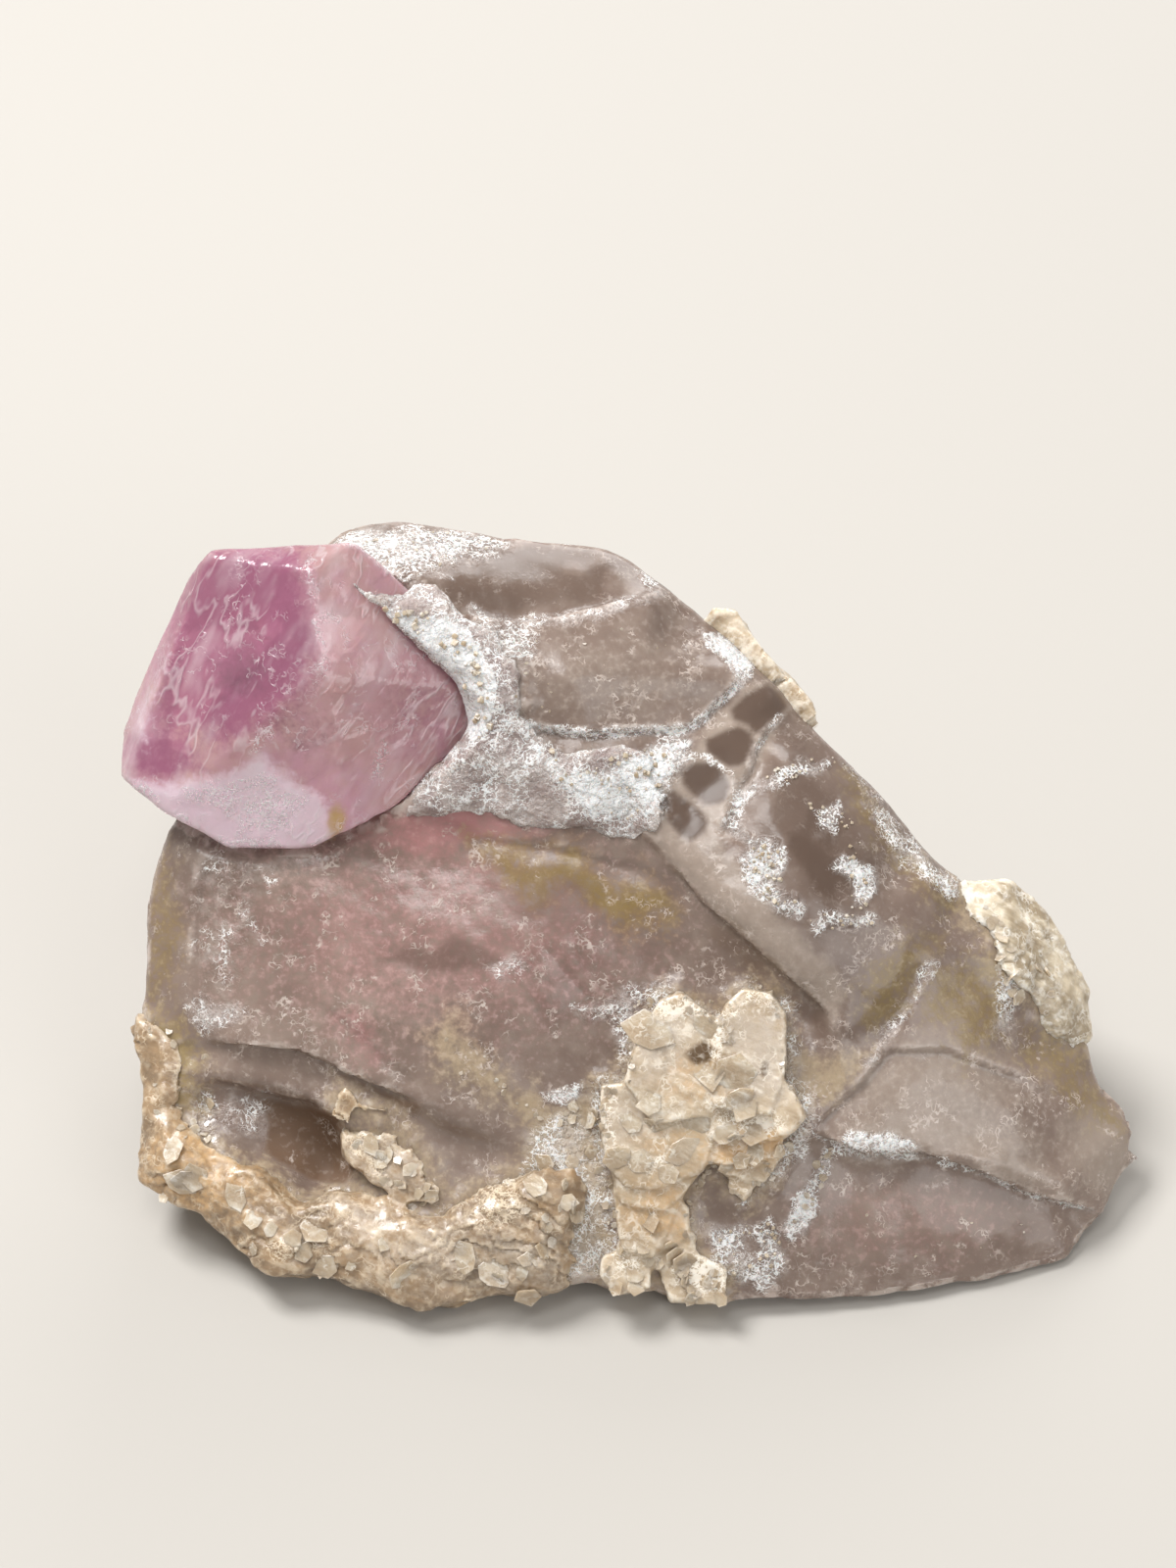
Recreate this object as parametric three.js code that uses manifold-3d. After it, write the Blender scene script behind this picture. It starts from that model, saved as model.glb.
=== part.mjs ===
// A pink tourmaline crystal on a quartz matrix, with mica and albite grown on it.
// Millimetres, +Z up. The stone rests on a flat fracture at z = 0, and the origin is the middle of its
// box, on that base. Its broad broken face leans back and looks up and forwards, towards -Y.
//
// Points on the broad face are written as [across, up, out]: millimetres to the right, up the face and
// out of it, as they look from VIEW_DISTANCE in front of the face. Points on the hidden side are [x, y, z].
import * as THREE from 'three';
import { ConvexGeometry } from 'three/addons/geometries/ConvexGeometry.js';
import { ImprovedNoise } from 'three/addons/math/ImprovedNoise.js';
import { mergeVertices } from 'three/addons/utils/BufferGeometryUtils.js';
import Module from 'manifold-3d';

const wasm = await Module();
wasm.setup();

// Driving dimensions
const FACE_LOOKS_UP = THREE.MathUtils.degToRad(50);
const FACE_CENTRE = new THREE.Vector3(0, -1.3, 13.9);
const VIEW_DISTANCE = 240;
const VIEW_AXIS = { across: -2.8, up: 6.5 };
const GAP = 0.3;
const STONE_EDGE = 2.6;
const STONE_ROUGHNESS = 0.17;
const CRUST_EDGE = 1.3;
const SKIN_DEPTH = 0.4;
const ORIGIN_SHIFT = new THREE.Vector3(0.3, -0.84, 0);

const ACROSS = new THREE.Vector3(1, 0, 0);
const UP = new THREE.Vector3(0, Math.sin(FACE_LOOKS_UP), Math.cos(FACE_LOOKS_UP));
const OUT = new THREE.Vector3(0, -Math.cos(FACE_LOOKS_UP), Math.sin(FACE_LOOKS_UP));

// The place in the part's frame of a point on the broad face.
function place([across, up, out]) {
  const nearer = 1 - out / VIEW_DISTANCE;
  return FACE_CENTRE.clone()
    .addScaledVector(ACROSS, VIEW_AXIS.across + (across - VIEW_AXIS.across) * nearer)
    .addScaledVector(UP, VIEW_AXIS.up + (up - VIEW_AXIS.up) * nearer)
    .addScaledVector(OUT, out);
}

// The reverse: how a point [x, y, z] looks from in front of the broad face.
function seen([x, y, z]) {
  const from = new THREE.Vector3(x, y, z).sub(FACE_CENTRE);
  const out = from.dot(OUT);
  const nearer = 1 - out / VIEW_DISTANCE;
  return [
    VIEW_AXIS.across + (from.dot(ACROSS) - VIEW_AXIS.across) / nearer,
    VIEW_AXIS.up + (from.dot(UP) - VIEW_AXIS.up) / nearer,
    out,
  ];
}

// Twice the signed area of a triangle seen from the front.
function turn(a, b, c) {
  return (b[0] - a[0]) * (c[1] - a[1]) - (b[1] - a[1]) * (c[0] - a[0]);
}

// Whether d lies inside the circle through the anticlockwise triangle a, b, c.
function inCircle(a, b, c, d) {
  const rows = [a, b, c].map((p) => {
    const x = p[0] - d[0];
    const y = p[1] - d[1];
    return [x, y, x * x + y * y];
  });
  const [p, q, r] = rows;
  return (
    p[0] * (q[1] * r[2] - q[2] * r[1]) -
      p[1] * (q[0] * r[2] - q[2] * r[0]) +
      p[2] * (q[0] * r[1] - q[1] * r[0]) >
    0
  );
}

// Delaunay triangles of points seen from the front, by adding one point at a time.
function delaunay(points) {
  const far = 1e4;
  const all = [...points, [-far, -far], [far, -far], [0, far]];
  const first = points.length;
  let triangles = [[first, first + 1, first + 2]];
  points.forEach((point, index) => {
    const bad = triangles.filter((t) => inCircle(all[t[0]], all[t[1]], all[t[2]], point));
    const edges = new Map();
    bad.forEach(([a, b, c]) => {
      [[a, b], [b, c], [c, a]].forEach(([from, to]) => {
        if (!edges.delete(`${to},${from}`)) edges.set(`${from},${to}`, [from, to]);
      });
    });
    triangles = triangles.filter((t) => !bad.includes(t));
    edges.forEach(([from, to]) => triangles.push([from, to, index]));
  });
  return triangles.filter((t) => t.every((corner) => corner < first));
}

// Whether a point seen from the front lies inside a closed outline.
function inside(outline, [across, up]) {
  let odd = false;
  outline.forEach((p, i) => {
    const q = outline[(i + 1) % outline.length];
    const crosses = p[1] > up !== q[1] > up;
    if (crosses && across < p[0] + ((up - p[1]) / (q[1] - p[1])) * (q[0] - p[0])) odd = !odd;
  });
  return odd;
}

// Triangles over an outline and the points inside it, anticlockwise from the front.
function coverOutline(outline, within) {
  const points = [...outline, ...within];
  return delaunay(points).filter((t) => {
    const middle = [0, 1].map((i) => (points[t[0]][i] + points[t[1]][i] + points[t[2]][i]) / 3);
    return inside(outline, middle) && Math.abs(turn(...t.map((i) => points[i]))) > 1e-6;
  });
}

// Splits every edge longer than the limit, over and over, without opening the mesh.
function splitLongEdges(mesh, longest) {
  let { points, triangles } = mesh;
  for (let again = true; again; ) {
    again = false;
    const middles = new Map();
    const middleOf = (a, b) => {
      const key = a < b ? `${a},${b}` : `${b},${a}`;
      if (points[a].distanceTo(points[b]) <= longest) return -1;
      if (!middles.has(key)) middles.set(key, points.push(points[a].clone().lerp(points[b], 0.5)) - 1);
      return middles.get(key);
    };
    const next = [];
    triangles.forEach((t) => {
      const m = [0, 1, 2].map((i) => middleOf(t[i], t[(i + 1) % 3]));
      const cut = m.filter((i) => i >= 0).length;
      if (cut) again = true;
      if (cut === 0) next.push(t);
      else if (cut === 3)
        next.push([t[0], m[0], m[2]], [m[0], t[1], m[1]], [m[2], m[1], t[2]], [m[0], m[1], m[2]]);
      else {
        const start = cut === 1 ? m.findIndex((i) => i >= 0) : (m.indexOf(-1) + 1) % 3;
        const [a, b, c] = [0, 1, 2].map((i) => t[(start + i) % 3]);
        const [ab, bc] = [0, 1].map((i) => m[(start + i) % 3]);
        if (cut === 1) next.push([a, ab, c], [ab, b, c]);
        else next.push([ab, b, bc], [a, ab, bc], [a, bc, c]);
      }
    });
    triangles = next;
  }
  return { points, triangles };
}

const noise = new ImprovedNoise();

// Smooth noise from about -1 to 1 at a point, with finer and weaker layers.
function roughAt(point, wavelength, seed) {
  let sum = 0;
  [1, 2.1, 4.3].forEach((finer, layer) => {
    const k = finer / wavelength;
    sum += noise.noise(point.x * k + seed, point.y * k - seed, point.z * k + 2 * seed) / 2 ** layer;
  });
  return sum;
}

// Moves every point of a mesh in all three directions by noise.
function roughen(mesh, amount, wavelength, seed) {
  const points = mesh.points.map((p) => {
    const push = [0, 17, 41].map((shift) => amount * roughAt(p, wavelength, seed + shift));
    return p.clone().add(new THREE.Vector3(...push));
  });
  return { points, triangles: mesh.triangles };
}

// Moves every point of a mesh out along its normal, by an amount worked out from the point.
function grow(mesh, amountAt) {
  const normals = mesh.points.map(() => new THREE.Vector3());
  mesh.triangles.forEach((t) => {
    const [a, b, c] = t.map((i) => mesh.points[i]);
    const normal = b.clone().sub(a).cross(c.clone().sub(a));
    t.forEach((i) => normals[i].add(normal));
  });
  const points = mesh.points.map((p, i) =>
    p.clone().addScaledVector(normals[i].normalize(), amountAt(p)),
  );
  return { points, triangles: mesh.triangles };
}

// A solid from points and triangles.
function solid({ points, triangles }) {
  const geometry = new THREE.BufferGeometry().setFromPoints(points);
  geometry.setIndex(triangles.flat());
  return solidOf(geometry);
}

// A solid from a closed three.js geometry.
function solidOf(geometry) {
  const bare = geometry.clone();
  bare.deleteAttribute('normal');
  bare.deleteAttribute('uv');
  const merged = mergeVertices(bare, 1e-4);
  return new wasm.Manifold(
    new wasm.Mesh({
      numProp: 3,
      vertProperties: merged.attributes.position.array,
      triVerts: new Uint32Array(merged.index.array),
    }),
  );
}

// The largest of a solid's separate bodies.
function largest(body) {
  return body.decompose().reduce((best, next) => (next.volume() > best.volume() ? next : best));
}

// A closed mesh between a front and a back relief that share one outline.
function reliefMesh(outline, front, back) {
  const points = [...outline, ...front, ...back].map(place);
  const ring = outline.length;
  const faces = coverOutline(outline, front);
  const behind = coverOutline(outline, back).map(([a, b, c]) =>
    [a, c, b].map((i) => (i < ring ? i : i + front.length)),
  );
  return { points, triangles: [...faces, ...behind] };
}

// A closed mesh between two copies of an outline. Its top may slope across and up.
function slab({ outline, top, bottom, across = 0, up = 0 }) {
  const path = outline.map((p) => new THREE.Vector2(...p));
  if (THREE.ShapeUtils.isClockWise(path)) path.reverse();
  const ring = path.length;
  const middle = path.reduce((sum, p) => sum.add(p), new THREE.Vector2()).divideScalar(ring);
  const points = [
    ...path.map((p) => place([p.x, p.y, top + across * (p.x - middle.x) + up * (p.y - middle.y)])),
    ...path.map((p) => place([p.x, p.y, bottom])),
  ];
  const cap = THREE.ShapeUtils.triangulateShape(path, []).map((t) =>
    turn(...t.map((i) => path[i].toArray())) > 0 ? t : [t[0], t[2], t[1]],
  );
  const walls = path.flatMap((_, i) => {
    const j = (i + 1) % ring;
    return [
      [i, i + ring, j],
      [j, i + ring, j + ring],
    ];
  });
  const foot = cap.map(([a, b, c]) => [a + ring, c + ring, b + ring]);
  return { points, triangles: [...cap, ...foot, ...walls] };
}

// A ball squashed to radii across, up and out, at a point of the broad face.
function bowl([across, up, out], radii) {
  const ball = new THREE.SphereGeometry(1, 14, 10);
  const at = new THREE.Matrix4().makeBasis(ACROSS, UP, OUT).setPosition(place([across, up, out]));
  return solidOf(ball.applyMatrix4(at.scale(new THREE.Vector3(...radii))));
}

// The crystal's faces: a point that each passes through, and the way it faces, both as across, up, out
const CRYSTAL_FACES = {
  pinkFace: { through: [-17.05, 18.1, 5.0], facing: [-0.447, 0, 0.894] },
  rightUpper: { through: [-17.05, 18.1, 5.0], facing: [0.48, 0.085, 0.873] },
  rightLower: { through: [-16.6, 11.5, 5.15], facing: [0.44, -0.27, 0.857] },
  paleFace: { through: [-20.9, 8.5, 3.07], facing: [-0.12, -0.395, 0.91] },
  paleChamfer: { through: [-25.7, 6.6, 0.67], facing: [-0.52, -0.34, 0.785] },
  topBevel: { through: [-20, 17.85, 3.5], facing: [-0.2, 0.75, 0.63] },
  top: { through: [-20, 18.15, 0], facing: [0, 0.99, -0.12] },
  topCorner: { through: [-23.1, 16.9, 0], facing: [-0.72, 0.69, -0.05] },
  leftUpper: { through: [-24.0, 14.8, -1], facing: [-0.88, 0.47, -0.08] },
  leftMiddle: { through: [-26.2, 9.7, -2], facing: [-0.925, 0.38, -0.1] },
  leftBevel: { through: [-25.0, 11.0, 0.7], facing: [-0.85, 0.25, 0.46] },
  leftLower: { through: [-26.4, 8.2, -2], facing: [-0.995, -0.05, -0.1] },
  lowCorner: { through: [-25, 5.8, -1.8], facing: [-0.61, -0.79, -0.05] },
  lowEdge: { through: [-22.2, 4.0, -0.5], facing: [-0.48, -0.87, -0.1] },
  bottom: { through: [-18, 3.3, 0.5], facing: [0.03, -0.98, -0.2] },
  bottomRight: { through: [-15, 4.2, 1], facing: [0.44, -0.88, -0.15] },
  rightFoot: { through: [-11.1, 6.8, 1], facing: [0.67, -0.74, -0.1] },
  rootRight: { through: [-8.3, 11, 0], facing: [1, 0.15, -0.1] },
  rootTop: { through: [-12.0, 15.9, 0], facing: [0.594, 0.804, -0.2] },
  back: { through: [-17, 11, -6.5], facing: [0, 0, -1] },
  backLeft: { through: [-25.3, 10, -3.6], facing: [-0.72, 0.1, -0.69] },
  backTop: { through: [-20, 17.2, -3.5], facing: [-0.05, 0.72, -0.69] },
  backLow: { through: [-23, 5.3, -3.5], facing: [-0.4, -0.6, -0.69] },
};

// The convex solid behind all the crystal's faces, each moved out by a clearance.
function crystal(clearance = 0) {
  const planes = Object.values(CRYSTAL_FACES).map(({ through, facing }) => {
    const normal = new THREE.Vector3()
      .addScaledVector(ACROSS, facing[0])
      .addScaledVector(UP, facing[1])
      .addScaledVector(OUT, facing[2])
      .normalize();
    const plane = new THREE.Plane().setFromNormalAndCoplanarPoint(normal, place(through));
    plane.constant -= clearance;
    return plane;
  });
  const corners = [];
  planes.forEach((p, i) =>
    planes.slice(i + 1).forEach((q, j) =>
      planes.slice(i + j + 2).forEach((r) => {
        const across = q.normal.clone().cross(r.normal);
        const volume = p.normal.dot(across);
        if (Math.abs(volume) < 1e-6) return;
        const corner = across.multiplyScalar(-p.constant);
        corner.addScaledVector(r.normal.clone().cross(p.normal), -q.constant);
        corner.addScaledVector(p.normal.clone().cross(q.normal), -r.constant);
        corner.divideScalar(volume);
        if (planes.every((plane) => plane.distanceToPoint(corner) < 1e-5)) corners.push(corner);
      }),
    ),
  );
  return solidOf(new ConvexGeometry(corners));
}

// The quartz's edge as it looks from the front, anticlockwise from the crystal's upper corner
const QUARTZ_OUTLINE = [
  [-16.9, 17.9, 0], [-18.8, 15.5, -1.5], [-20.8, 11.5, -2.5], [-22.8, 7.0, -2.8], [-24.55, 4.0, -2.6],
  [-25.3, 1.5, -2.6], [-25.55, -2.5, -2.6], [-25.3, -6.5, -2.5], [-24.8, -10.0, -2.2],
  [-24.3, -13.0, -2.0], [-22.05, -14.75, -1.2], [-19.3, -17.0, -0.5], [-15.8, -18.0, 0],
  [-11.3, -19.0, 0], [-9.3, -19.0, 0], [-4.8, -18.5, 0.2], [-0.8, -19.25, 0.2], [3.95, -19.9, 0],
  [8.2, -19.9, -0.2], [12.2, -19.75, -0.6], [17.2, -18.9, -1.4], [21.7, -17.85, -2.5],
  [23.7, -15.5, -3.5], [24.35, -13.75, -4.0], [25.45, -13.25, -4.8], [26.3, -12.5, -5.0],
  [25.2, -10.75, -4.6], [23.45, -8.75, -4.2], [22.45, -6.5, -4.0], [21.95, -3.5, -4.0],
  [20.45, -0.5, -3.5], [18.7, 1.0, -3.0], [16.45, 1.25, -2.0], [13.95, 3.75, -1.5], [12.2, 6.0, -1.2],
  [9.7, 8.25, -1.0], [7.2, 11.25, -1.0], [4.45, 14.0, -1.2], [2.2, 15.9, -1.5], [-0.2, 17.75, -1.8],
  [-1.8, 18.5, -2.0], [-4.8, 18.9, -2.0], [-9.3, 19.5, -2.0], [-12.55, 19.95, -2.0],
  [-14.7, 19.7, -1.5], [-16.3, 18.85, -0.6],
];

// What the quartz's front passes through, from the top of the face down
const QUARTZ_FRONT = {
  rimOverCrystal: [
    [-15.55, 17.25, 4.1], [-12.8, 15.25, 3.2], [-10.8, 13.75, 2.7], [-8.55, 12.5, 2.6],
    [-7.55, 10.5, 2.5], [-7.8, 8.75, 2.1], [-9.8, 7.25, 1.9], [-11.8, 5.9, 1.3],
  ],
  seatUnderCrystal: [
    [-16.3, 16.5, 1.5], [-13.55, 14.25, 1.0], [-11.55, 12.75, 0.3], [-9.55, 11.25, -0.3],
    [-8.9, 9.25, -0.5], [-10.8, 7.5, -0.3], [-12.8, 6.5, 0], [-16.3, 10.5, 0], [-20.8, 8.5, -1.5],
  ],
  smokyFacet: [
    [-12.8, 17.5, 2.2], [-10.8, 15.5, 2.4], [-8.8, 17.0, 1.2], [-4.8, 16.5, 0.8], [-0.8, 17.0, -0.4],
  ],
  facetCrest: [[-7.55, 14.0, 2.4], [-3.8, 15.1, 1.9], [0.2, 15.9, 0.8]],
  smoothBrow: [
    [-3.8, 12.0, 2.8], [0.2, 12.5, 2.2], [4.2, 12.0, 0.9], [-2.8, 9.25, 2.5], [1.7, 9.6, 2.0],
    [3.95, 10.25, 1.3],
  ],
  frostedBand: [
    [-11.3, 5.0, 0.8], [-7.8, 4.5, 0.9], [-4.3, 4.25, 1.0], [-0.8, 3.9, 1.2], [-4.8, 7.0, 1.8],
    [-0.8, 7.0, 2.1],
  ],
  smokyBoss: [
    [6.7, 11.2, 0.1], [5.7, 8.5, 1.6], [8.7, 7.0, 1.2], [4.2, 4.0, 3.0], [7.2, 4.0, 3.0],
    [10.7, 4.0, 1.6], [8.7, 0.5, 3.5], [12.2, 0, 2.0], [11.2, -3.5, 2.4], [14.7, 1.5, 0.4],
    [15.2, -1.5, 0.8],
  ],
  bossEdge: [[2.2, 3.0, 3.1], [4.2, 0.5, 3.5], [6.7, -2.0, 3.3], [9.7, -4.5, 2.4]],
  bossFoot: [[-0.3, 2.5, 1.2], [2.2, -0.5, 1.3], [5.2, -3.0, 1.1], [8.2, -5.5, 1.2]],
  broadFace: [
    [-22.8, 3.0, -0.6], [-18.8, 2.0, 0.2], [-14.8, 3.0, 0.4], [-9.8, 2.5, 0.8], [-4.8, 1.5, 1.2],
    [-23.3, -1.5, -1.0], [-19.8, -2.5, 0], [-15.3, -1.5, 0.8], [-9.8, -1.5, 1.4], [-4.8, -2.0, 1.4],
    [-0.8, -1.5, 1.0], [-22.8, -5.5, -0.8], [-18.3, -5.5, 0.5], [-13.8, -5.5, 1.2],
    [-8.8, -5.5, 1.6], [-3.8, -5.5, 1.2], [-6.8, -9.0, 1.4], [-2.8, -9.0, 1.0], [-4.8, -12.5, 1.0],
    [2.2, -3.5, 0.9],
  ],
  upperStep: [
    [-21.3, -6.9, 0.1], [-17.8, -7.25, 0.6], [-15.55, -8.1, 1.0], [-11.3, -10.0, 1.5], [-8.8, -11.0, 1.3],
  ],
  upperStepFoot: [
    [-21.3, -7.4, -0.5], [-17.9, -7.8, -0.3], [-15.8, -8.7, -0.1], [-11.6, -10.6, 0.3],
    [-9.1, -11.6, 0.3],
  ],
  lowerStep: [[-21.0, -8.6, -0.6], [-18.3, -9.1, -0.3], [-15.8, -10.4, 0]],
  lowerStepFoot: [[-20.5, -9.3, -1.6], [-18.4, -9.7, -1.9], [-16.1, -11.0, -2.2]],
  hollowFloor: [[-17.8, -11.5, -2.6], [-15.8, -12.5, -2.8], [-16.3, -13.6, -2.6]],
  lowerBand: [
    [-13.5, -12.5, -0.6], [-10.5, -13.0, 0.3], [3.2, -8.5, 1.0], [1.2, -13.5, 0.8],
    [-0.8, -17.0, 0.6], [-4.8, -16.0, 0.6], [-9.8, -16.5, 0.4], [-13.8, -15.5, 0],
    [-17.8, -15.5, -0.4], [-21.3, -12.5, -0.8],
  ],
  rightFace: [
    [9.7, -8.0, 1.8], [14.2, -4.5, 1.2], [18.7, -2.5, -0.8], [17.2, -7.5, 0.4], [20.7, -8.5, -1.2],
    [13.7, -9.0, 1.6], [19.2, -11.0, -0.2], [23.7, -12.0, -2.8],
  ],
  rightEdge: [
    [8.2, -11.5, 2.0], [11.2, -12.4, 1.8], [14.7, -12.4, 1.4], [17.7, -13.25, 0.8],
    [21.2, -14.25, -0.6], [23.6, -14.1, -2.8],
  ],
  rightEdgeFoot: [
    [8.3, -12.1, 1.1], [11.2, -13.0, 0.9], [14.7, -13.0, 0.5], [17.6, -13.85, 0], [21.0, -14.85, -1.3],
  ],
  lowerFacet: [[6.2, -15.0, 0.9], [12.2, -16.0, 0.3], [17.2, -16.5, -0.5], [5.2, -18.0, 0.5]],
};

// What the quartz's hidden side passes through, as x, y, z. Points below z = 0 make the base.
const QUARTZ_BACK = {
  shoulder: [
    [-17, 14, 17], [-12, 17.5, 21], [-3, 17.5, 20], [4, 14, 17], [10, 9, 13.5], [16, 4, 8], [22, 0, 5],
  ],
  wall: [[-24, 5, 8], [-25, -1, 5], [-21, 12, 12], [-13, 18.5, 13], [-2, 19, 11], [7, 15.5, 9], [14, 9, 6]],
  baseRim: [
    [-12, 16.5, -1], [-2, 17, -1], [8, 13, -1], [15, 7, -1], [20, 0, -1], [22, -7, -1], [19, -12.5, -1],
    [10, -14.3, -1], [4, -14.0, -1], [-3, -13.5, -1], [-9, -13.2, -1], [-15, -12, -1], [-20, -7, -1],
    [-22, 0, -1], [-20, 9, -1],
  ],
  base: [[-12, 3, -1.4], [0, 0, -1.4], [10, -4, -1.4], [0, 10, -1.4]],
};

// Small conchoidal pits on the shoulder between the frosted band and the smoky boss
const PITS = [
  { at: [6.0, 10.4, 2.0], radii: [2.0, 1.8, 1.5] },
  { at: [4.6, 8.5, 3.05], radii: [1.9, 1.7, 1.4] },
  { at: [3.25, 6.5, 3.4], radii: [1.8, 1.6, 1.3] },
  { at: [2.2, 4.85, 3.65], radii: [1.6, 1.8, 1.3] },
];

// Crusts on the quartz: an outline seen from the front, and how deep it wraps round the edge. Each
// thins out towards its outline, and lumps swell it.
const ALBITE_RIM = {
  outline: [
    [-15.8, 18.4], [-15.9, 16.0], [-12.8, 13.6], [-9.8, 11.5], [-9.4, 9.5], [-11.3, 7.0],
    [-14.0, 4.6], [-11.3, 4.2], [-8.2, 4.4], [-5.8, 3.4], [-2.8, 3.6], [-0.8, 2.9], [1.3, 3.6],
    [2.4, 5.3], [1.2, 7.2], [1.7, 8.4], [-1.0, 9.3], [-4.0, 9.0], [-5.8, 10.4], [-5.7, 12.4],
    [-7.0, 14.9], [-9.0, 15.6], [-10.4, 17.3], [-13.2, 17.4],
  ],
  thickness: 0.3,
  fade: 1.1,
  wrap: -2,
  lumps: [
    { at: [-8.0, 12.2], radius: 1.5, height: 0.35 },
    { at: [-8.4, 8.9], radius: 1.2, height: 0.25 },
    { at: [-10.6, 14.9], radius: 1.3, height: 0.3 },
    { at: [-6.4, 6.9], radius: 1.3, height: 0.3 },
    { at: [-2.9, 5.5], radius: 1.5, height: 0.3 },
    { at: [-0.2, 7.2], radius: 1.1, height: 0.2 },
  ],
  roughness: 0.16,
  seed: 23,
};

const MICA_LEDGE = {
  outline: [
    [-25.0, -4.6], [-27.5, -6.0], [-27.5, -14.0], [-21.5, -21.0], [-11.0, -22.5], [-3.2, -22.0],
    [-3.1, -17.0], [-2.5, -15.0], [-3.2, -12.6], [-4.9, -12.4], [-7.8, -13.2], [-10.3, -15.2],
    [-12.8, -14.1], [-15.6, -13.8], [-17.2, -14.6], [-19.4, -12.6], [-21.0, -12.1], [-23.2, -10.7],
    [-22.8, -7.8],
    [-23.2, -6.2],
  ],
  thickness: 0.55,
  fade: 1.1,
  wrap: -5.5,
  lumps: [
    { at: [-23.6, -13.0], radius: 2.0, height: 0.9 },
    { at: [-20.6, -15.3], radius: 1.3, height: 0.5 },
    { at: [-18.6, -17.4], radius: 1.8, height: 0.8 },
    { at: [-14.6, -16.4], radius: 1.1, height: 0.6 },
    { at: [-11.6, -17.9], radius: 2.2, height: 0.8 },
    { at: [-7.9, -15.9], radius: 1.5, height: 0.7 },
    { at: [-4.9, -14.6], radius: 1.8, height: 1.0 },
    { at: [-5.6, -18.0], radius: 1.4, height: 0.6 },
  ],
  roughness: 0.26,
  seed: 35,
};

const EDGE_MICA = {
  outline: [
    [15.6, 2.4], [18.3, 2.6], [20.6, 1.2], [22.6, -2.0], [23.8, -4.5], [23.8, -7.0], [21.6, -7.6],
    [19.9, -6.6], [19.3, -5.0], [17.6, -3.6], [17.2, -1.6], [15.4, -0.4],
  ],
  thickness: 0.2,
  fade: 0.9,
  wrap: -5.5,
  lumps: [
    { at: [17.9, 0.2], radius: 1.2, height: 0.25 },
    { at: [20.0, -1.9], radius: 1.0, height: 0.2 },
    { at: [20.9, -4.6], radius: 1.2, height: 0.3 },
  ],
  roughness: 0.18,
  seed: 43,
};

// Mica plates, each an outline on the face, how far out its top is, and how the top slopes
const ROSETTE_PLATES = [
  {
    outline: [
      [0.8, -4.5], [0.0, -5.9], [-0.6, -7.3], [-0.95, -8.7], [-0.35, -9.6], [0.55, -11.0], [2.4, -10.6],
      [3.6, -10.5], [4.1, -8.0], [4.1, -5.7], [3.3, -5.2], [1.95, -4.1],
    ],
    top: 3.3,
    up: 0.05,
  },
  {
    outline: [
      [4.2, -4.8], [3.5, -7.0], [3.6, -9.9], [4.9, -10.3], [6.5, -10.4], [7.2, -8.5], [7.4, -7.3],
      [7.3, -5.2], [6.5, -4.2], [5.1, -3.9],
    ],
    top: 3.45,
    across: -0.06,
  },
  {
    outline: [
      [3.5, -9.4], [3.5, -11.5], [4.2, -11.8], [5.2, -11.4], [6.5, -11.8], [7.4, -11.5], [7.6, -9.4],
      [6.4, -8.9],
    ],
    top: 2.9,
    up: 0.08,
  },
  {
    outline: [
      [6.4, -8.7], [6.8, -11.6], [7.7, -11.3], [8.3, -10.5], [7.7, -9.1], [7.1, -8.5],
    ],
    top: 3.2,
    across: 0.1,
  },
  {
    outline: [
      [-2.2, -8.9], [-2.1, -11.7], [-1.85, -12.9], [-0.95, -14.1], [0.8, -14.2], [3.1, -13.3], [3.6, -12.0],
      [3.4, -9.8], [0.5, -9.6], [-0.8, -8.7],
    ],
    top: 2.6,
    up: 0.06,
  },
  {
    outline: [
      [2.3, -11.2], [2.2, -12.7], [4.2, -13.0], [5.6, -12.8], [7.0, -12.6], [7.4, -11.3],
      [5.0, -10.8],
    ],
    top: 2.3,
  },
  {
    outline: [
      [3.6, -12.2], [4.1, -13.5], [6.3, -13.9], [7.3, -12.2], [7.4, -10.9], [5.2, -11.6],
    ],
    top: 1.9,
    up: 0.05,
  },
  {
    outline: [
      [4.3, -13.0], [4.3, -14.2], [5.2, -14.8], [6.1, -13.7], [5.4, -12.8],
    ],
    top: 1.6,
  },
  {
    outline: [
      [-1.6, -13.2], [-1.1, -14.9], [-0.5, -15.1], [1.2, -15.3], [1.8, -14.7], [2.5, -13.9], [3.2, -13.0],
      [0.8, -12.6],
    ],
    top: 2.1,
    up: 0.05,
  },
  {
    outline: [
      [-1.5, -14.2], [-1.25, -16.6], [-1.15, -17.3], [0.5, -17.7], [1.3, -16.4], [1.7, -15.3], [2.3, -14.1],
      [0.8, -13.6],
    ],
    top: 1.7,
    up: 0.05,
  },
  {
    outline: [
      [0.9, -15.4], [0.6, -17.4], [1.3, -17.2], [2.4, -16.6], [2.4, -15.2], [1.9, -14.6],
    ],
    top: 1.45,
  },
  {
    outline: [
      [0.2, -16.6], [0.5, -18.2], [1.6, -18.6], [2.9, -17.9], [2.7, -16.5], [1.6, -16.0],
    ],
    top: 1.25,
  },
  {
    outline: [
      [-2.1, -17.6], [-2.2, -18.6], [-1.3, -19.6], [0.4, -19.2], [0.4, -17.6], [-0.6, -16.9],
    ],
    top: 1.3,
  },
  {
    outline: [
      [0.8, -17.9], [1.0, -18.9], [1.35, -20.0], [4.2, -20.1], [4.4, -18.3], [3.1, -17.5],
      [2.1, -17.4],
    ],
    top: 1.1,
    up: 0.05,
  },
];

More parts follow.
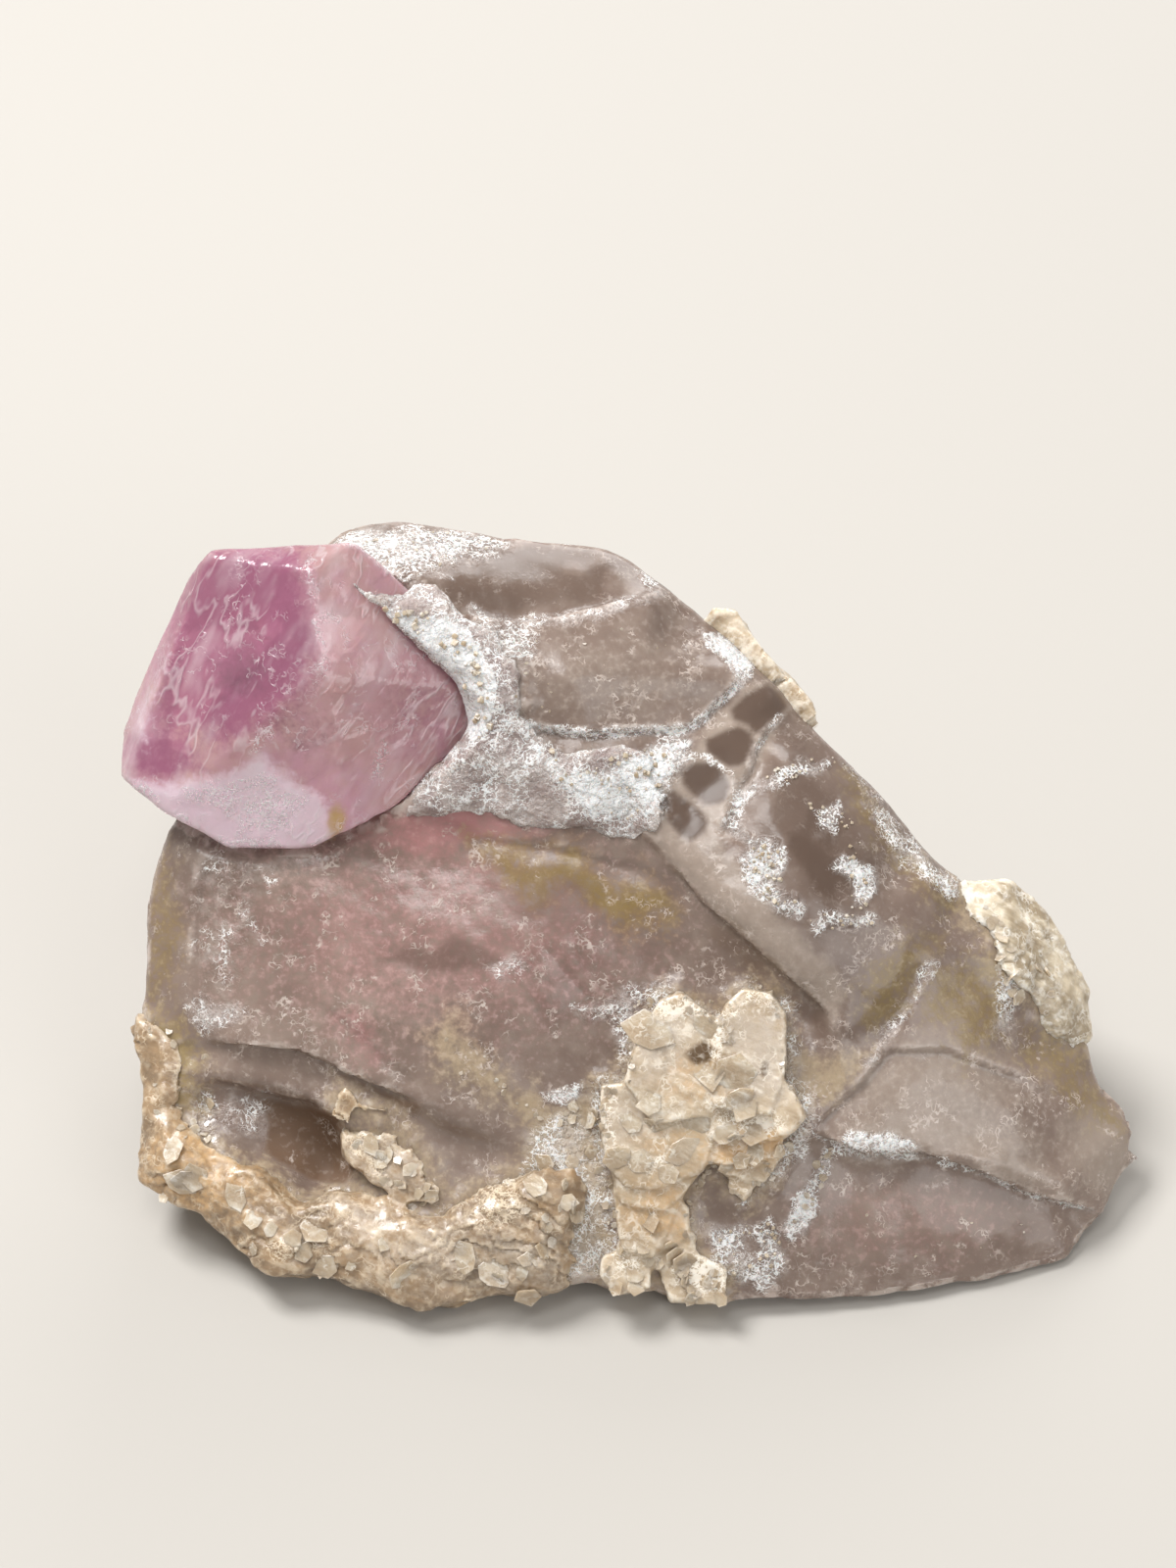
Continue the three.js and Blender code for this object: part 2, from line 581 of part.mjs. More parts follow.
const BLADE_PLATES = [
  {
    outline: [
      [-15.5, -10.4], [-15.4, -12.0], [-14.9, -13.0], [-12.6, -14.6], [-10.5, -15.0], [-10.3, -14.1],
      [-12.3, -12.1], [-14.2, -10.3],
    ],
    top: 0.4,
    across: 0.06,
    up: -0.1,
  },
  {
    outline: [
      [-12.4, -12.4], [-12.9, -13.6], [-10.4, -15.2], [-10.4, -13.4], [-10.0, -11.6],
      [-10.5, -11.0], [-11.5, -11.5],
    ],
    top: 0.5,
  },
  {
    outline: [
      [-16.0, -10.4], [-15.5, -9.2], [-15.1, -8.7], [-14.5, -9.7], [-15.0, -10.9],
    ],
    top: 0.6,
  },
  {
    outline: [
      [-14.6, -9.8], [-13.9, -10.9], [-12.9, -11.6], [-12.1, -11.7], [-11.3, -11.0], [-11.3, -9.9],
      [-12.4, -10.2],
    ],
    top: 0.45,
    up: 0.1,
  },
];

// A thin cream plate that stands out behind the upper right edge
const MICA_SLIVER = {
  outline: [
    [3.0, 14.4], [4.6, 12.4], [6.4, 10.4], [8.0, 9.4], [9.0, 9.6], [8.5, 10.8], [7.7, 11.7], [6.7, 12.6],
    [5.6, 14.1], [4.7, 15.2], [3.6, 15.4],
  ],
  top: -1.1,
  bottom: -3.4,
};

// How far a point seen from the front lies from an outline.
function edgeDistance(outline, [across, up]) {
  const distances = outline.map((p, i) => {
    const q = outline[(i + 1) % outline.length];
    const along = [q[0] - p[0], q[1] - p[1]];
    const length = Math.hypot(...along);
    const share = ((across - p[0]) * along[0] + (up - p[1]) * along[1]) / length ** 2;
    const t = THREE.MathUtils.clamp(share, 0, 1);
    return Math.hypot(across - p[0] - t * along[0], up - p[1] - t * along[1]);
  });
  return Math.min(...distances);
}

// How far a crust's skin stands off the stone at a point. Outside its outline it sinks into the stone.
function crustAt(crust, point) {
  const [across, up, out] = seen(point.toArray());
  const depth = inside(crust.outline, [across, up]) ? edgeDistance(crust.outline, [across, up]) : 0;
  const { smoothstep } = THREE.MathUtils;
  const cover = smoothstep(depth, 0, crust.fade) * smoothstep(out, crust.wrap - 1.5, crust.wrap);
  const swell = crust.lumps.reduce((sum, { at, radius, height }) => {
    const away = Math.hypot(across - at[0], up - at[1]) / radius;
    return sum + height * Math.exp(-away * away);
  }, 0);
  return GAP - SKIN_DEPTH + cover * (crust.thickness + swell + SKIN_DEPTH);
}

const ground = solidOf(new THREE.BoxGeometry(80, 80, 10).translate(0, 0, -5));
const coarse = reliefMesh(
  QUARTZ_OUTLINE,
  Object.values(QUARTZ_FRONT).flat(),
  Object.values(QUARTZ_BACK).flat().map(seen),
);
const stone = roughen(splitLongEdges(coarse, STONE_EDGE), STONE_ROUGHNESS, 4, 7);
const fineStone = splitLongEdges(stone, CRUST_EDGE);
const stoneCleared = solid(grow(stone, () => GAP));
const crystalCleared = crystal(GAP);
const pits = PITS.map(({ at, radii }) => bowl(at, radii)).reduce((all, pit) => all.add(pit));
const sliver = roughen(splitLongEdges(slab(MICA_SLIVER), CRUST_EDGE), 0.3, 2, 5);

// Plates as one solid that reaches into the stone.
function stack(list, bottom) {
  const bodies = list.map((plate) => solid(slab({ bottom, ...plate })));
  return bodies.reduce((all, plate) => all.add(plate));
}

// A crust's outer skin, with the stone still in it.
function skinOf(crust) {
  const raised = grow(fineStone, (p) => crustAt(crust, p));
  return solid(roughen(raised, crust.roughness, 2.2, crust.seed));
}

// What of a body stands GAP clear of the stone and the crystal.
function onStone(body) {
  return body.subtract(stoneCleared).subtract(crystalCleared).subtract(ground);
}

const pieces = {
  quartz_matrix: {
    body: solid(stone).subtract(crystalCleared).subtract(pits).subtract(ground),
    color: 0x94857f,
    roughness: 0.35,
  },
  tourmaline_crystal: { body: crystal(), color: 0xb98bb0, roughness: 0.2 },
  albite_rim: { body: onStone(skinOf(ALBITE_RIM)), color: 0xdcd3cc, roughness: 0.75 },
  mica_ledge: {
    body: onStone(skinOf(MICA_LEDGE).add(stack(BLADE_PLATES, -4))),
    color: 0xbfae94,
    roughness: 0.6,
  },
  mica_rosette: { body: onStone(stack(ROSETTE_PLATES, -2)), color: 0xcbbda6, roughness: 0.5 },
  edge_mica: { body: onStone(skinOf(EDGE_MICA)), color: 0xc8bfae, roughness: 0.6 },
  mica_sliver: { body: onStone(solid(sliver)), color: 0xd2c7b0, roughness: 0.5 },
};

const group = new THREE.Group();
Object.entries(pieces).forEach(([name, { body, color, roughness }]) => {
  const { vertProperties, triVerts } = largest(body).getMesh();
  const geometry = new THREE.BufferGeometry();
  geometry.setAttribute('position', new THREE.BufferAttribute(vertProperties, 3));
  geometry.setIndex(new THREE.BufferAttribute(triVerts, 1));
  geometry.computeVertexNormals();
  const material = new THREE.MeshStandardMaterial({ color, roughness, metalness: 0, flatShading: true });
  const mesh = new THREE.Mesh(geometry, material);
  mesh.name = name;
  mesh.position.copy(ORIGIN_SHIFT);
  group.add(mesh);
});

export default group;
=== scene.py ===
"""Dresses a pink tourmaline crystal on its quartz and mica matrix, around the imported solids."""

import logging
import math
from dataclasses import dataclass, field
from enum import Enum

import bpy
import numpy as np
from mathutils import Matrix, Vector, noise
from mathutils.bvhtree import BVHTree


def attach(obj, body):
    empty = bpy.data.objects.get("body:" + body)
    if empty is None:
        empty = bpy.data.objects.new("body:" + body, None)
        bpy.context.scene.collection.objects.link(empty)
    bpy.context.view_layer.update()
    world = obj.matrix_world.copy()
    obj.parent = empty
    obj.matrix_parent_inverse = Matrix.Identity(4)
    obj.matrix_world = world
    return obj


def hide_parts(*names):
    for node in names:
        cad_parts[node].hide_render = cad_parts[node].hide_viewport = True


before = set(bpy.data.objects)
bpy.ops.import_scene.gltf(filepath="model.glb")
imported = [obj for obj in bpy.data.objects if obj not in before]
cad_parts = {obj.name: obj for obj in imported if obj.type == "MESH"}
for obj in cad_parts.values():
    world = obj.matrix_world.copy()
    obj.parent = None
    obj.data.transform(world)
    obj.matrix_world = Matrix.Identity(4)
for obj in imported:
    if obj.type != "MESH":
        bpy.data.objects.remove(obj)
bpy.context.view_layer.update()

MM = 0.001
Path = tuple[tuple[float, float], ...]
log = logging.getLogger("tourmaline")


@dataclass(frozen=True)
class BroadFace:
    """The stone's broad broken face, on which places are written as across, up and out, in mm."""

    centre: tuple[float, float, float] = (0.3, -2.14, 13.9)
    looks_up: float = math.radians(50)
    view_distance: float = 240.0
    axis_across: float = -2.8
    axis_up: float = 6.5

    def axes(self) -> np.ndarray:
        """Rows are the directions across, up and out."""
        s, c = math.sin(self.looks_up), math.cos(self.looks_up)
        return np.array([[1, 0, 0], [0, s, c], [0, -c, s]], float)

    def place(self, points: np.ndarray) -> np.ndarray:
        """Turns face places into points of the model.

        Args:
            points: rows of across, up and out, in mm.

        Returns:
            Rows of x, y and z, in metres.
        """
        points = np.atleast_2d(points).astype(float)
        nearer = 1 - points[:, 2:] / self.view_distance
        middle = np.array([self.axis_across, self.axis_up])
        local = np.hstack([middle + (points[:, :2] - middle) * nearer, points[:, 2:]])
        return (np.array(self.centre) + local @ self.axes()) * MM

    def seen(self, xyz: np.ndarray) -> np.ndarray:
        """The reverse of place: how points in metres look from in front of the face, in mm."""
        local = (xyz / MM - np.array(self.centre)) @ self.axes().T
        nearer = 1 - local[:, 2:] / self.view_distance
        middle = np.array([self.axis_across, self.axis_up])
        return np.hstack([middle + (local[:, :2] - middle) / nearer, local[:, 2:]])


FACE = BroadFace()


class Mask(Enum):
    """What a painted area changes, each kept on the mesh as a point attribute."""

    FROST = "frost"
    STAIN = "stain"
    DARK = "dark"
    PINK = "pink"
    HAZE = "haze"
    CREAM = "cream"
    # painted shade: the hollow's floor and the strip under the shelf over it, darkened to brown
    BROWN = "brown"


def away_from_path(path: np.ndarray, at: np.ndarray, closed: bool) -> np.ndarray:
    """How far each place is from a path.

    Args:
        path: rows of across and up.
        at: rows of across and up.
        closed: whether the path's end joins its start.

    Returns:
        One distance a row of at.
    """
    ends = np.roll(path, -1, axis=0)
    best = np.full(len(at), 1e9)
    for a, b in list(zip(path, ends))[: None if closed else -1]:
        along = b - a
        t = np.clip((at - a) @ along / max(float(along @ along), 1e-9), 0, 1)
        best = np.minimum(best, np.linalg.norm(at - a - t[:, None] * along, axis=1))
    return best


def inside_path(path: np.ndarray, at: np.ndarray) -> np.ndarray:
    """Whether each place is inside a closed path."""
    within = np.zeros(len(at), bool)
    for (x1, y1), (x2, y2) in zip(path, np.roll(path, -1, axis=0)):
        crosses = (y1 > at[:, 1]) != (y2 > at[:, 1])
        with np.errstate(divide="ignore", invalid="ignore"):
            x = x1 + (at[:, 1] - y1) * (x2 - x1) / (y2 - y1)
        within ^= crosses & (at[:, 0] < x)
    return within


@dataclass(frozen=True)
class Oval:
    """A soft oval on the broad face, in mm and degrees."""

    name: str
    across: float
    up: float
    wide: float
    high: float
    strength: float = 1.0
    turn: float = 0.0

    def cover(self, seen: np.ndarray, drift: np.ndarray) -> np.ndarray:
        """How much of this area each place has, from 0 to its strength.

        Args:
            seen: rows of across and up, in mm.
            drift: how noise shifts each place, in mm.

        Returns:
            One value a row.
        """
        a = math.radians(self.turn)
        dx, dy = (seen + drift - (self.across, self.up)).T
        x = (dx * math.cos(a) + dy * math.sin(a)) / self.wide
        y = (dy * math.cos(a) - dx * math.sin(a)) / self.high
        return self.strength * np.clip(1.45 - 0.9 * np.hypot(x, y), 0, 1)


@dataclass(frozen=True)
class Patch:
    """An area of the broad face inside an outline in mm, or a line where it has a width."""

    name: str
    outline: Path
    strength: float = 1.0
    soft: float = 0.5
    fray: float = 0.5
    width: float = 0.0

    def cover(self, seen: np.ndarray, drift: np.ndarray) -> np.ndarray:
        """How much of this area each place has, from 0 to its strength.

        Args:
            seen: rows of across and up, in mm.
            drift: how noise shifts each place, in mm.

        Returns:
            One value a row.
        """
        path = np.array(self.outline)
        margin = self.width + self.soft + 2 * self.fray
        near = ((seen > path.min(0) - margin) & (seen < path.max(0) + margin)).all(1)
        at = seen[near] + self.fray * drift[near]
        depth = away_from_path(path, at, not self.width)
        if self.width:
            depth = self.width / 2 - depth
        else:
            depth = np.where(inside_path(path, at), depth, -depth)
        cover = np.zeros(len(seen))
        cover[near] = self.strength * np.clip(0.5 + depth / (2 * self.soft), 0, 1)
        return cover


@dataclass(frozen=True)
class Step:
    """A sharp edge on the broad face: right of its path the stone drops, then comes back, in mm."""

    name: str
    path: Path
    drop: float
    reach: float
    sharp: float = 0.14
    taper: float = 1.2

    def fall(self, seen: np.ndarray) -> np.ndarray:
        """How far each place drops.

        Args:
            seen: rows of across and up, in mm.

        Returns:
            One drop a row, in mm.
        """
        path = np.array(self.path)
        near = ((seen > path.min(0) - self.reach) & (seen < path.max(0) + self.reach)).all(1)
        at = seen[near]
        best, right = np.full(len(at), 1e9), np.zeros(len(at))
        for a, b in zip(path[:-1], path[1:]):
            along = b - a
            t = np.clip((at - a) @ along / float(along @ along), 0, 1)
            away = at - a - t[:, None] * along
            distance = np.linalg.norm(away, axis=1)
            side = (away[:, 0] * along[1] - away[:, 1] * along[0]) / np.linalg.norm(along)
            closer = distance < best
            best = np.where(closer, distance, best)
            right = np.where(closer, side, right)
        ends = np.minimum(*(np.linalg.norm(at - path[i], axis=1) for i in (0, -1)))
        below = np.clip(0.5 + right / (2 * self.sharp), 0, 1)
        fall = np.zeros(len(seen))
        shape = np.clip(1 - best / self.reach, 0, 1) ** 1.5
        fall[near] = self.drop * below * shape * np.clip(ends / self.taper, 0, 1)
        return fall


Areas = dict[Mask, tuple[Oval | Patch, ...]]


def wander(xyz: np.ndarray, wavelength: float, octaves: int = 3, seed: float = 0.0) -> np.ndarray:
    """Smooth noise at points.

    Args:
        xyz: rows of x, y and z, in metres.
        wavelength: the size of its broadest waves, in mm.
        octaves: how many layers, each half as broad and half as strong as the last.
        seed: moves the pattern.

    Returns:
        One value a row, from about -1 to 1.
    """
    scaled = xyz / (MM * wavelength) + seed
    return np.array([noise.fractal(p, 1.0, 2.0, octaves) for p in scaled.tolist()])


def grains(xyz: np.ndarray, size: float, seed: float = 0.0) -> np.ndarray:
    """The relief of packed flat grains, each with a height and a tilt of its own.

    Args:
        xyz: rows of x, y and z, in metres.
        size: about how wide a grain is, in mm.
        seed: moves the pattern.

    Returns:
        One value a row, from about -1 to 1.
    """
    relief = np.empty(len(xyz))
    for i, p in enumerate((xyz / (MM * size) + seed).tolist()):
        middle = noise.voronoi(p)[1][0]
        lean = noise.noise_vector(middle * 9.7)
        relief[i] = 0.8 * lean.x + 1.6 * (Vector(p) - middle).dot(lean)
    return relief


class Sculpt:
    """A mesh piece whose points are read, moved and painted as arrays."""

    def __init__(self, piece: bpy.types.Object) -> None:
        """Starts from an object at the origin."""
        self.piece = piece

    @property
    def mesh(self) -> bpy.types.Mesh:
        """The piece's mesh."""
        return self.piece.data

    @classmethod
    def copy_of(cls, node: str, name: str) -> "Sculpt":
        """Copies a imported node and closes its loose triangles.

        Args:
            node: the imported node's name.
            name: the copy's name.

        Returns:
            The copy, at the origin.
        """
        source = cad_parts[node]
        piece = source.copy()
        piece.data = source.data.copy()
        piece.name = piece.data.name = name
        piece.parent = None
        for key in list(piece.keys()):
            del piece[key]
        bpy.context.scene.collection.objects.link(piece)
        piece.data.materials.clear()
        copy = cls(piece)
        copy.pick()
        bpy.ops.object.mode_set(mode="EDIT")
        bpy.ops.mesh.select_all(action="SELECT")
        bpy.ops.mesh.remove_doubles(threshold=2e-6)
        bpy.ops.object.mode_set(mode="OBJECT")
        return copy

    def pick(self) -> None:
        """Selects this piece alone."""
        bpy.ops.object.select_all(action="DESELECT")
        self.piece.select_set(True)
        bpy.context.view_layer.objects.active = self.piece

    def modify(self, kind: str, **settings: object) -> None:
        """Adds one modifier and applies it.

        Args:
            kind: the modifier's type.
            settings: its properties.
        """
        self.pick()
        modifier = self.piece.modifiers.new(kind.lower(), kind)
        for key, value in settings.items():
            setattr(modifier, key, value)
        bpy.ops.object.modifier_apply(modifier=modifier.name)

    def remesh(self, size: float) -> None:
        """Rebuilds the skin from even faces of a size in mm."""
        self.modify("REMESH", mode="VOXEL", voxel_size=size * MM)

    def points(self) -> np.ndarray:
        """The vertices, in metres."""
        flat = np.empty(len(self.mesh.vertices) * 3, np.float32)
        self.mesh.vertices.foreach_get("co", flat)
        return flat.reshape(-1, 3).astype(float)

    def move(self, points: np.ndarray) -> None:
        """Puts the vertices at new places, none of them under the ground."""
        points[:, 2] = np.maximum(points[:, 2], 0)
        self.mesh.vertices.foreach_set("co", points.astype(np.float32).ravel())
        self.mesh.update()

    def normals(self) -> np.ndarray:
        """The vertices' normals."""
        flat = np.empty(len(self.mesh.vertices) * 3, np.float32)
        self.mesh.vertices.foreach_get("normal", flat)
        return flat.reshape(-1, 3).astype(float)

    def facing(self, least: float = -0.33, most: float = 0.0, rounds: int = 0) -> np.ndarray:
        """Tells the broad face's side of the stone from its back.

        Args:
            least: how far a vertex may turn away and still be 0, as its normal's share along out.
            most: how far it must turn towards the broad face to be 1.
            rounds: how many times the values spread into their neighbours.

        Returns:
            One value a vertex, from 0 on the back to 1.
        """
        share = np.clip((self.normals() @ FACE.axes()[2] - least) / (most - least), 0, 1)
        start, end = self.neighbours()
        total = np.maximum(np.bincount(start, minlength=len(share)), 1)
        for _ in range(rounds):
            share = np.bincount(start, share[end], len(share)) / total
        return share

    def neighbours(self) -> tuple[np.ndarray, np.ndarray]:
        """The edges, each in both directions, as from and to vertex numbers."""
        flat = np.empty(len(self.mesh.edges) * 2, np.int32)
        self.mesh.edges.foreach_get("vertices", flat)
        pairs = flat.reshape(-1, 2)
        return np.concatenate([pairs[:, 0], pairs[:, 1]]), np.concatenate([pairs[:, 1], pairs[:, 0]])

    def raise_by(self, amount: np.ndarray) -> None:
        """Moves each vertex out along its normal, by amounts in mm."""
        self.move(self.points() + self.normals() * amount[:, None] * MM)

    def relax(self, rounds: int, crease: float, share: float | np.ndarray = 1.0) -> None:
        """Smooths faces but keeps the ridges between them.

        Args:
            rounds: how many times.
            crease: how far two normals may differ and still be one face, as 1 minus their dot product.
            share: how much of it the vertices take, as one number or a row for each.
        """
        start, end = self.neighbours()
        count = len(self.mesh.vertices)
        for _ in range(rounds):
            at, normal = self.points(), self.normals()
            alike = 1 - (normal[start] * normal[end]).sum(1)
            weight = np.exp(-((alike / crease) ** 2)) + 0.02
            total = np.bincount(start, weight, count)
            step = [np.bincount(start, weight * at[end, i], count) / total for i in range(3)]
            self.move(at + (np.stack(step, 1) - at) * 0.6 * share)

    def ridges(self, size: float) -> np.ndarray:
        """How sharply the surface folds outwards at each vertex, from 0 to 1.

        Args:
            size: how far apart the vertices are, in mm.

        Returns:
            One value a vertex.
        """
        start, end = self.neighbours()
        count = len(self.mesh.vertices)
        at = self.points()
        total = np.maximum(np.bincount(start, minlength=count), 1)
        mean = np.stack([np.bincount(start, at[end, i], count) for i in range(3)], 1) / total[:, None]
        fold = -((mean - at) * self.normals()).sum(1) / (size * MM)
        for _ in range(2):
            fold = 0.5 * fold + 0.5 * np.bincount(start, fold[end], count) / total
        return np.clip((fold - 0.03) / 0.08, 0, 1)

    def tree(self) -> BVHTree:
        """A search tree of the faces."""
        return BVHTree.FromPolygons(
            [Vector(p) for p in self.points()], [tuple(p.vertices) for p in self.mesh.polygons]
        )

    def away_from(self, other: BVHTree, reach: float) -> tuple[np.ndarray, np.ndarray]:
        """Finds how far each vertex is from another piece.

        Args:
            other: the other piece's tree.
            reach: the farthest to look, in mm.

        Returns:
            The distances in mm, at most reach, and the nearest places in metres.
        """
        at = self.points()
        distance, nearest = np.full(len(at), float(reach)), at.copy()
        for i, p in enumerate(at.tolist()):
            hit = other.find_nearest(p, reach * MM)
            if hit[0] is not None:
                distance[i], nearest[i] = hit[3] / MM, hit[0]
        return distance, nearest

    def reach_to(self, other: BVHTree, reach: float, sink: float) -> None:
        """Moves the vertices that face another piece closely up to it, so that no gap shows.

        Args:
            other: the other piece's tree.
            reach: the widest gap to close, in mm.
            sink: how far past the other's face they go, in mm; less than 0 stops short of it.
        """
        distance, nearest = self.away_from(other, reach)
        at = self.points()
        way = nearest - at
        length = np.maximum(np.linalg.norm(way, axis=1), 1e-9)
        facing = (way * self.normals()).sum(1) / length
        share = np.clip((reach - distance) / (0.35 * reach), 0, 1) * np.clip(facing * 2, 0, 1)
        go = np.maximum(length + sink * MM, 0) / length
        self.move(at + way * (share * go)[:, None])

    def paint(
        self, areas: Areas, ragged: float = 0.8, front: np.ndarray | float = 1.0
    ) -> dict[Mask, np.ndarray]:
        """Keeps each mask's areas on the vertices, with borders that wander.

        Args:
            areas: the areas of each mask.
            ragged: how far the borders wander, in mm.
            front: how much of them each vertex takes.

        Returns:
            The masks' values, one a vertex.
        """
        at = self.points()
        seen = FACE.seen(at)
        drift = np.stack([wander(at, 2.2, 4, 11.0), wander(at, 2.2, 4, 47.0)], 1) * ragged
        values = {}
        for mask in Mask:
            cover = np.zeros(len(at))
            for area in areas.get(mask, ()):
                cover = np.maximum(cover, area.cover(seen[:, :2], drift))
            values[mask] = cover * front
            self.keep(mask.value, values[mask])
        return values

    def keep(self, name: str, values: np.ndarray) -> None:
        """Keeps one number a vertex under a name."""
        known = self.mesh.attributes.get(name) or self.mesh.attributes.new(name, "FLOAT", "POINT")
        known.data.foreach_set("value", values.astype(np.float32))

    def shade(self, angle: float = 40.0) -> None:
        """Shades smoothly, with edges sharper than an angle in degrees kept."""
        self.pick()
        bpy.ops.object.shade_smooth_by_angle(angle=math.radians(angle))


Value = bpy.types.NodeSocket | float | tuple


class Nodes:
    """A material's or a group's nodes, added and joined in short calls."""

    def __init__(self, tree: bpy.types.NodeTree) -> None:
        """Starts on a node tree."""
        self.tree = tree

    def add(self, kind: str, **inputs: object) -> bpy.types.Node:
        """Adds a node.

        Args:
            kind: its type, without the ShaderNode prefix.
            inputs: its properties and its sockets by name, with _ for a space. A socket joins.

        Returns:
            The node.
        """
        node = self.tree.nodes.new("ShaderNode" + kind)
        for key, value in inputs.items():
            if hasattr(node, key):
                setattr(node, key, value)
            else:
                self.feed(node, key.replace("_", " "), value)
        return node

    def feed(self, node: bpy.types.Node, socket: str | int, value: Value) -> None:
        """Joins a socket to another, or gives it a value."""
        target = node.inputs[socket]
        if isinstance(value, bpy.types.NodeSocket):
            self.tree.links.new(value, target)
        else:
            target.default_value = value

    def math(self, operation: str, a: Value, b: Value = 0.0, clamp: bool = False) -> bpy.types.NodeSocket:
        """The result of a sum on two sockets or numbers."""
        node = self.add("Math", operation=operation, use_clamp=clamp)
        self.feed(node, 0, a)
        self.feed(node, 1, b)
        return node.outputs[0]

    def total(self, *terms: tuple[Value, float]) -> bpy.types.NodeSocket:
        """The sum of terms, each a value and its weight."""
        parts = [self.math("MULTIPLY", value, weight) for value, weight in terms]
        result = parts[0]
        for part in parts[1:]:
            result = self.math("ADD", result, part)
        return result

    def ramp(self, value: Value, low: Value, high: Value) -> bpy.types.NodeSocket:
        """0 below low, 1 above high and smooth between."""
        return self.add(
            "MapRange", interpolation_type="SMOOTHSTEP", Value=value, From_Min=low, From_Max=high
        ).outputs["Result"]

    def blend(self, share: Value, a: Value, b: Value) -> bpy.types.NodeSocket:
        """A mix of two colours."""
        node = self.add("Mix", data_type="RGBA")
        self.feed(node, 0, share)
        self.feed(node, 6, a)
        self.feed(node, 7, b)
        return node.outputs[2]

    def painted(self, name: str) -> bpy.types.NodeSocket:
        """A number that was kept on the vertices."""
        return self.add("Attribute", attribute_name=name).outputs["Fac"]

    def speckle(self, where: bpy.types.NodeSocket, scale: float, detail: float = 4.0) -> bpy.types.NodeSocket:
        """Noise at a scale, in waves a metre.

        Args:
            where: the coordinates.
            scale: how many waves a metre.
            detail: how many finer layers.

        Returns:
            The noise, about 0.5.
        """
        return self.add("TexNoise", Scale=scale, Detail=detail, Roughness=0.6, Vector=where).outputs["Fac"]

    def streaks(
        self, where: bpy.types.NodeSocket, scale: float, turn: float, longer: float = 5.0
    ) -> bpy.types.NodeSocket:
        """Noise drawn out into streaks across the broad face.

        Args:
            where: the coordinates.
            scale: how many streaks a metre.
            turn: how far they slope down to the right, in degrees.
            longer: how many times longer than wide they are.

        Returns:
            The noise, about 0.5.
        """
        slope = Matrix.Rotation(math.radians(-turn), 3, Vector(FACE.axes()[2])).to_euler()
        along = self.add(
            "Mapping", vector_type="TEXTURE", Vector=where, Rotation=tuple(slope), Scale=(longer, 1.0, 1.0)
        )
        return self.speckle(along.outputs[0], scale, 3)


class Effect(Enum):
    """The effects that several finishes share."""

    SOFT = "soft border"
    FROST = "frost filigree"
    SILK = "silk hairs"
    PLATES = "packed plates"


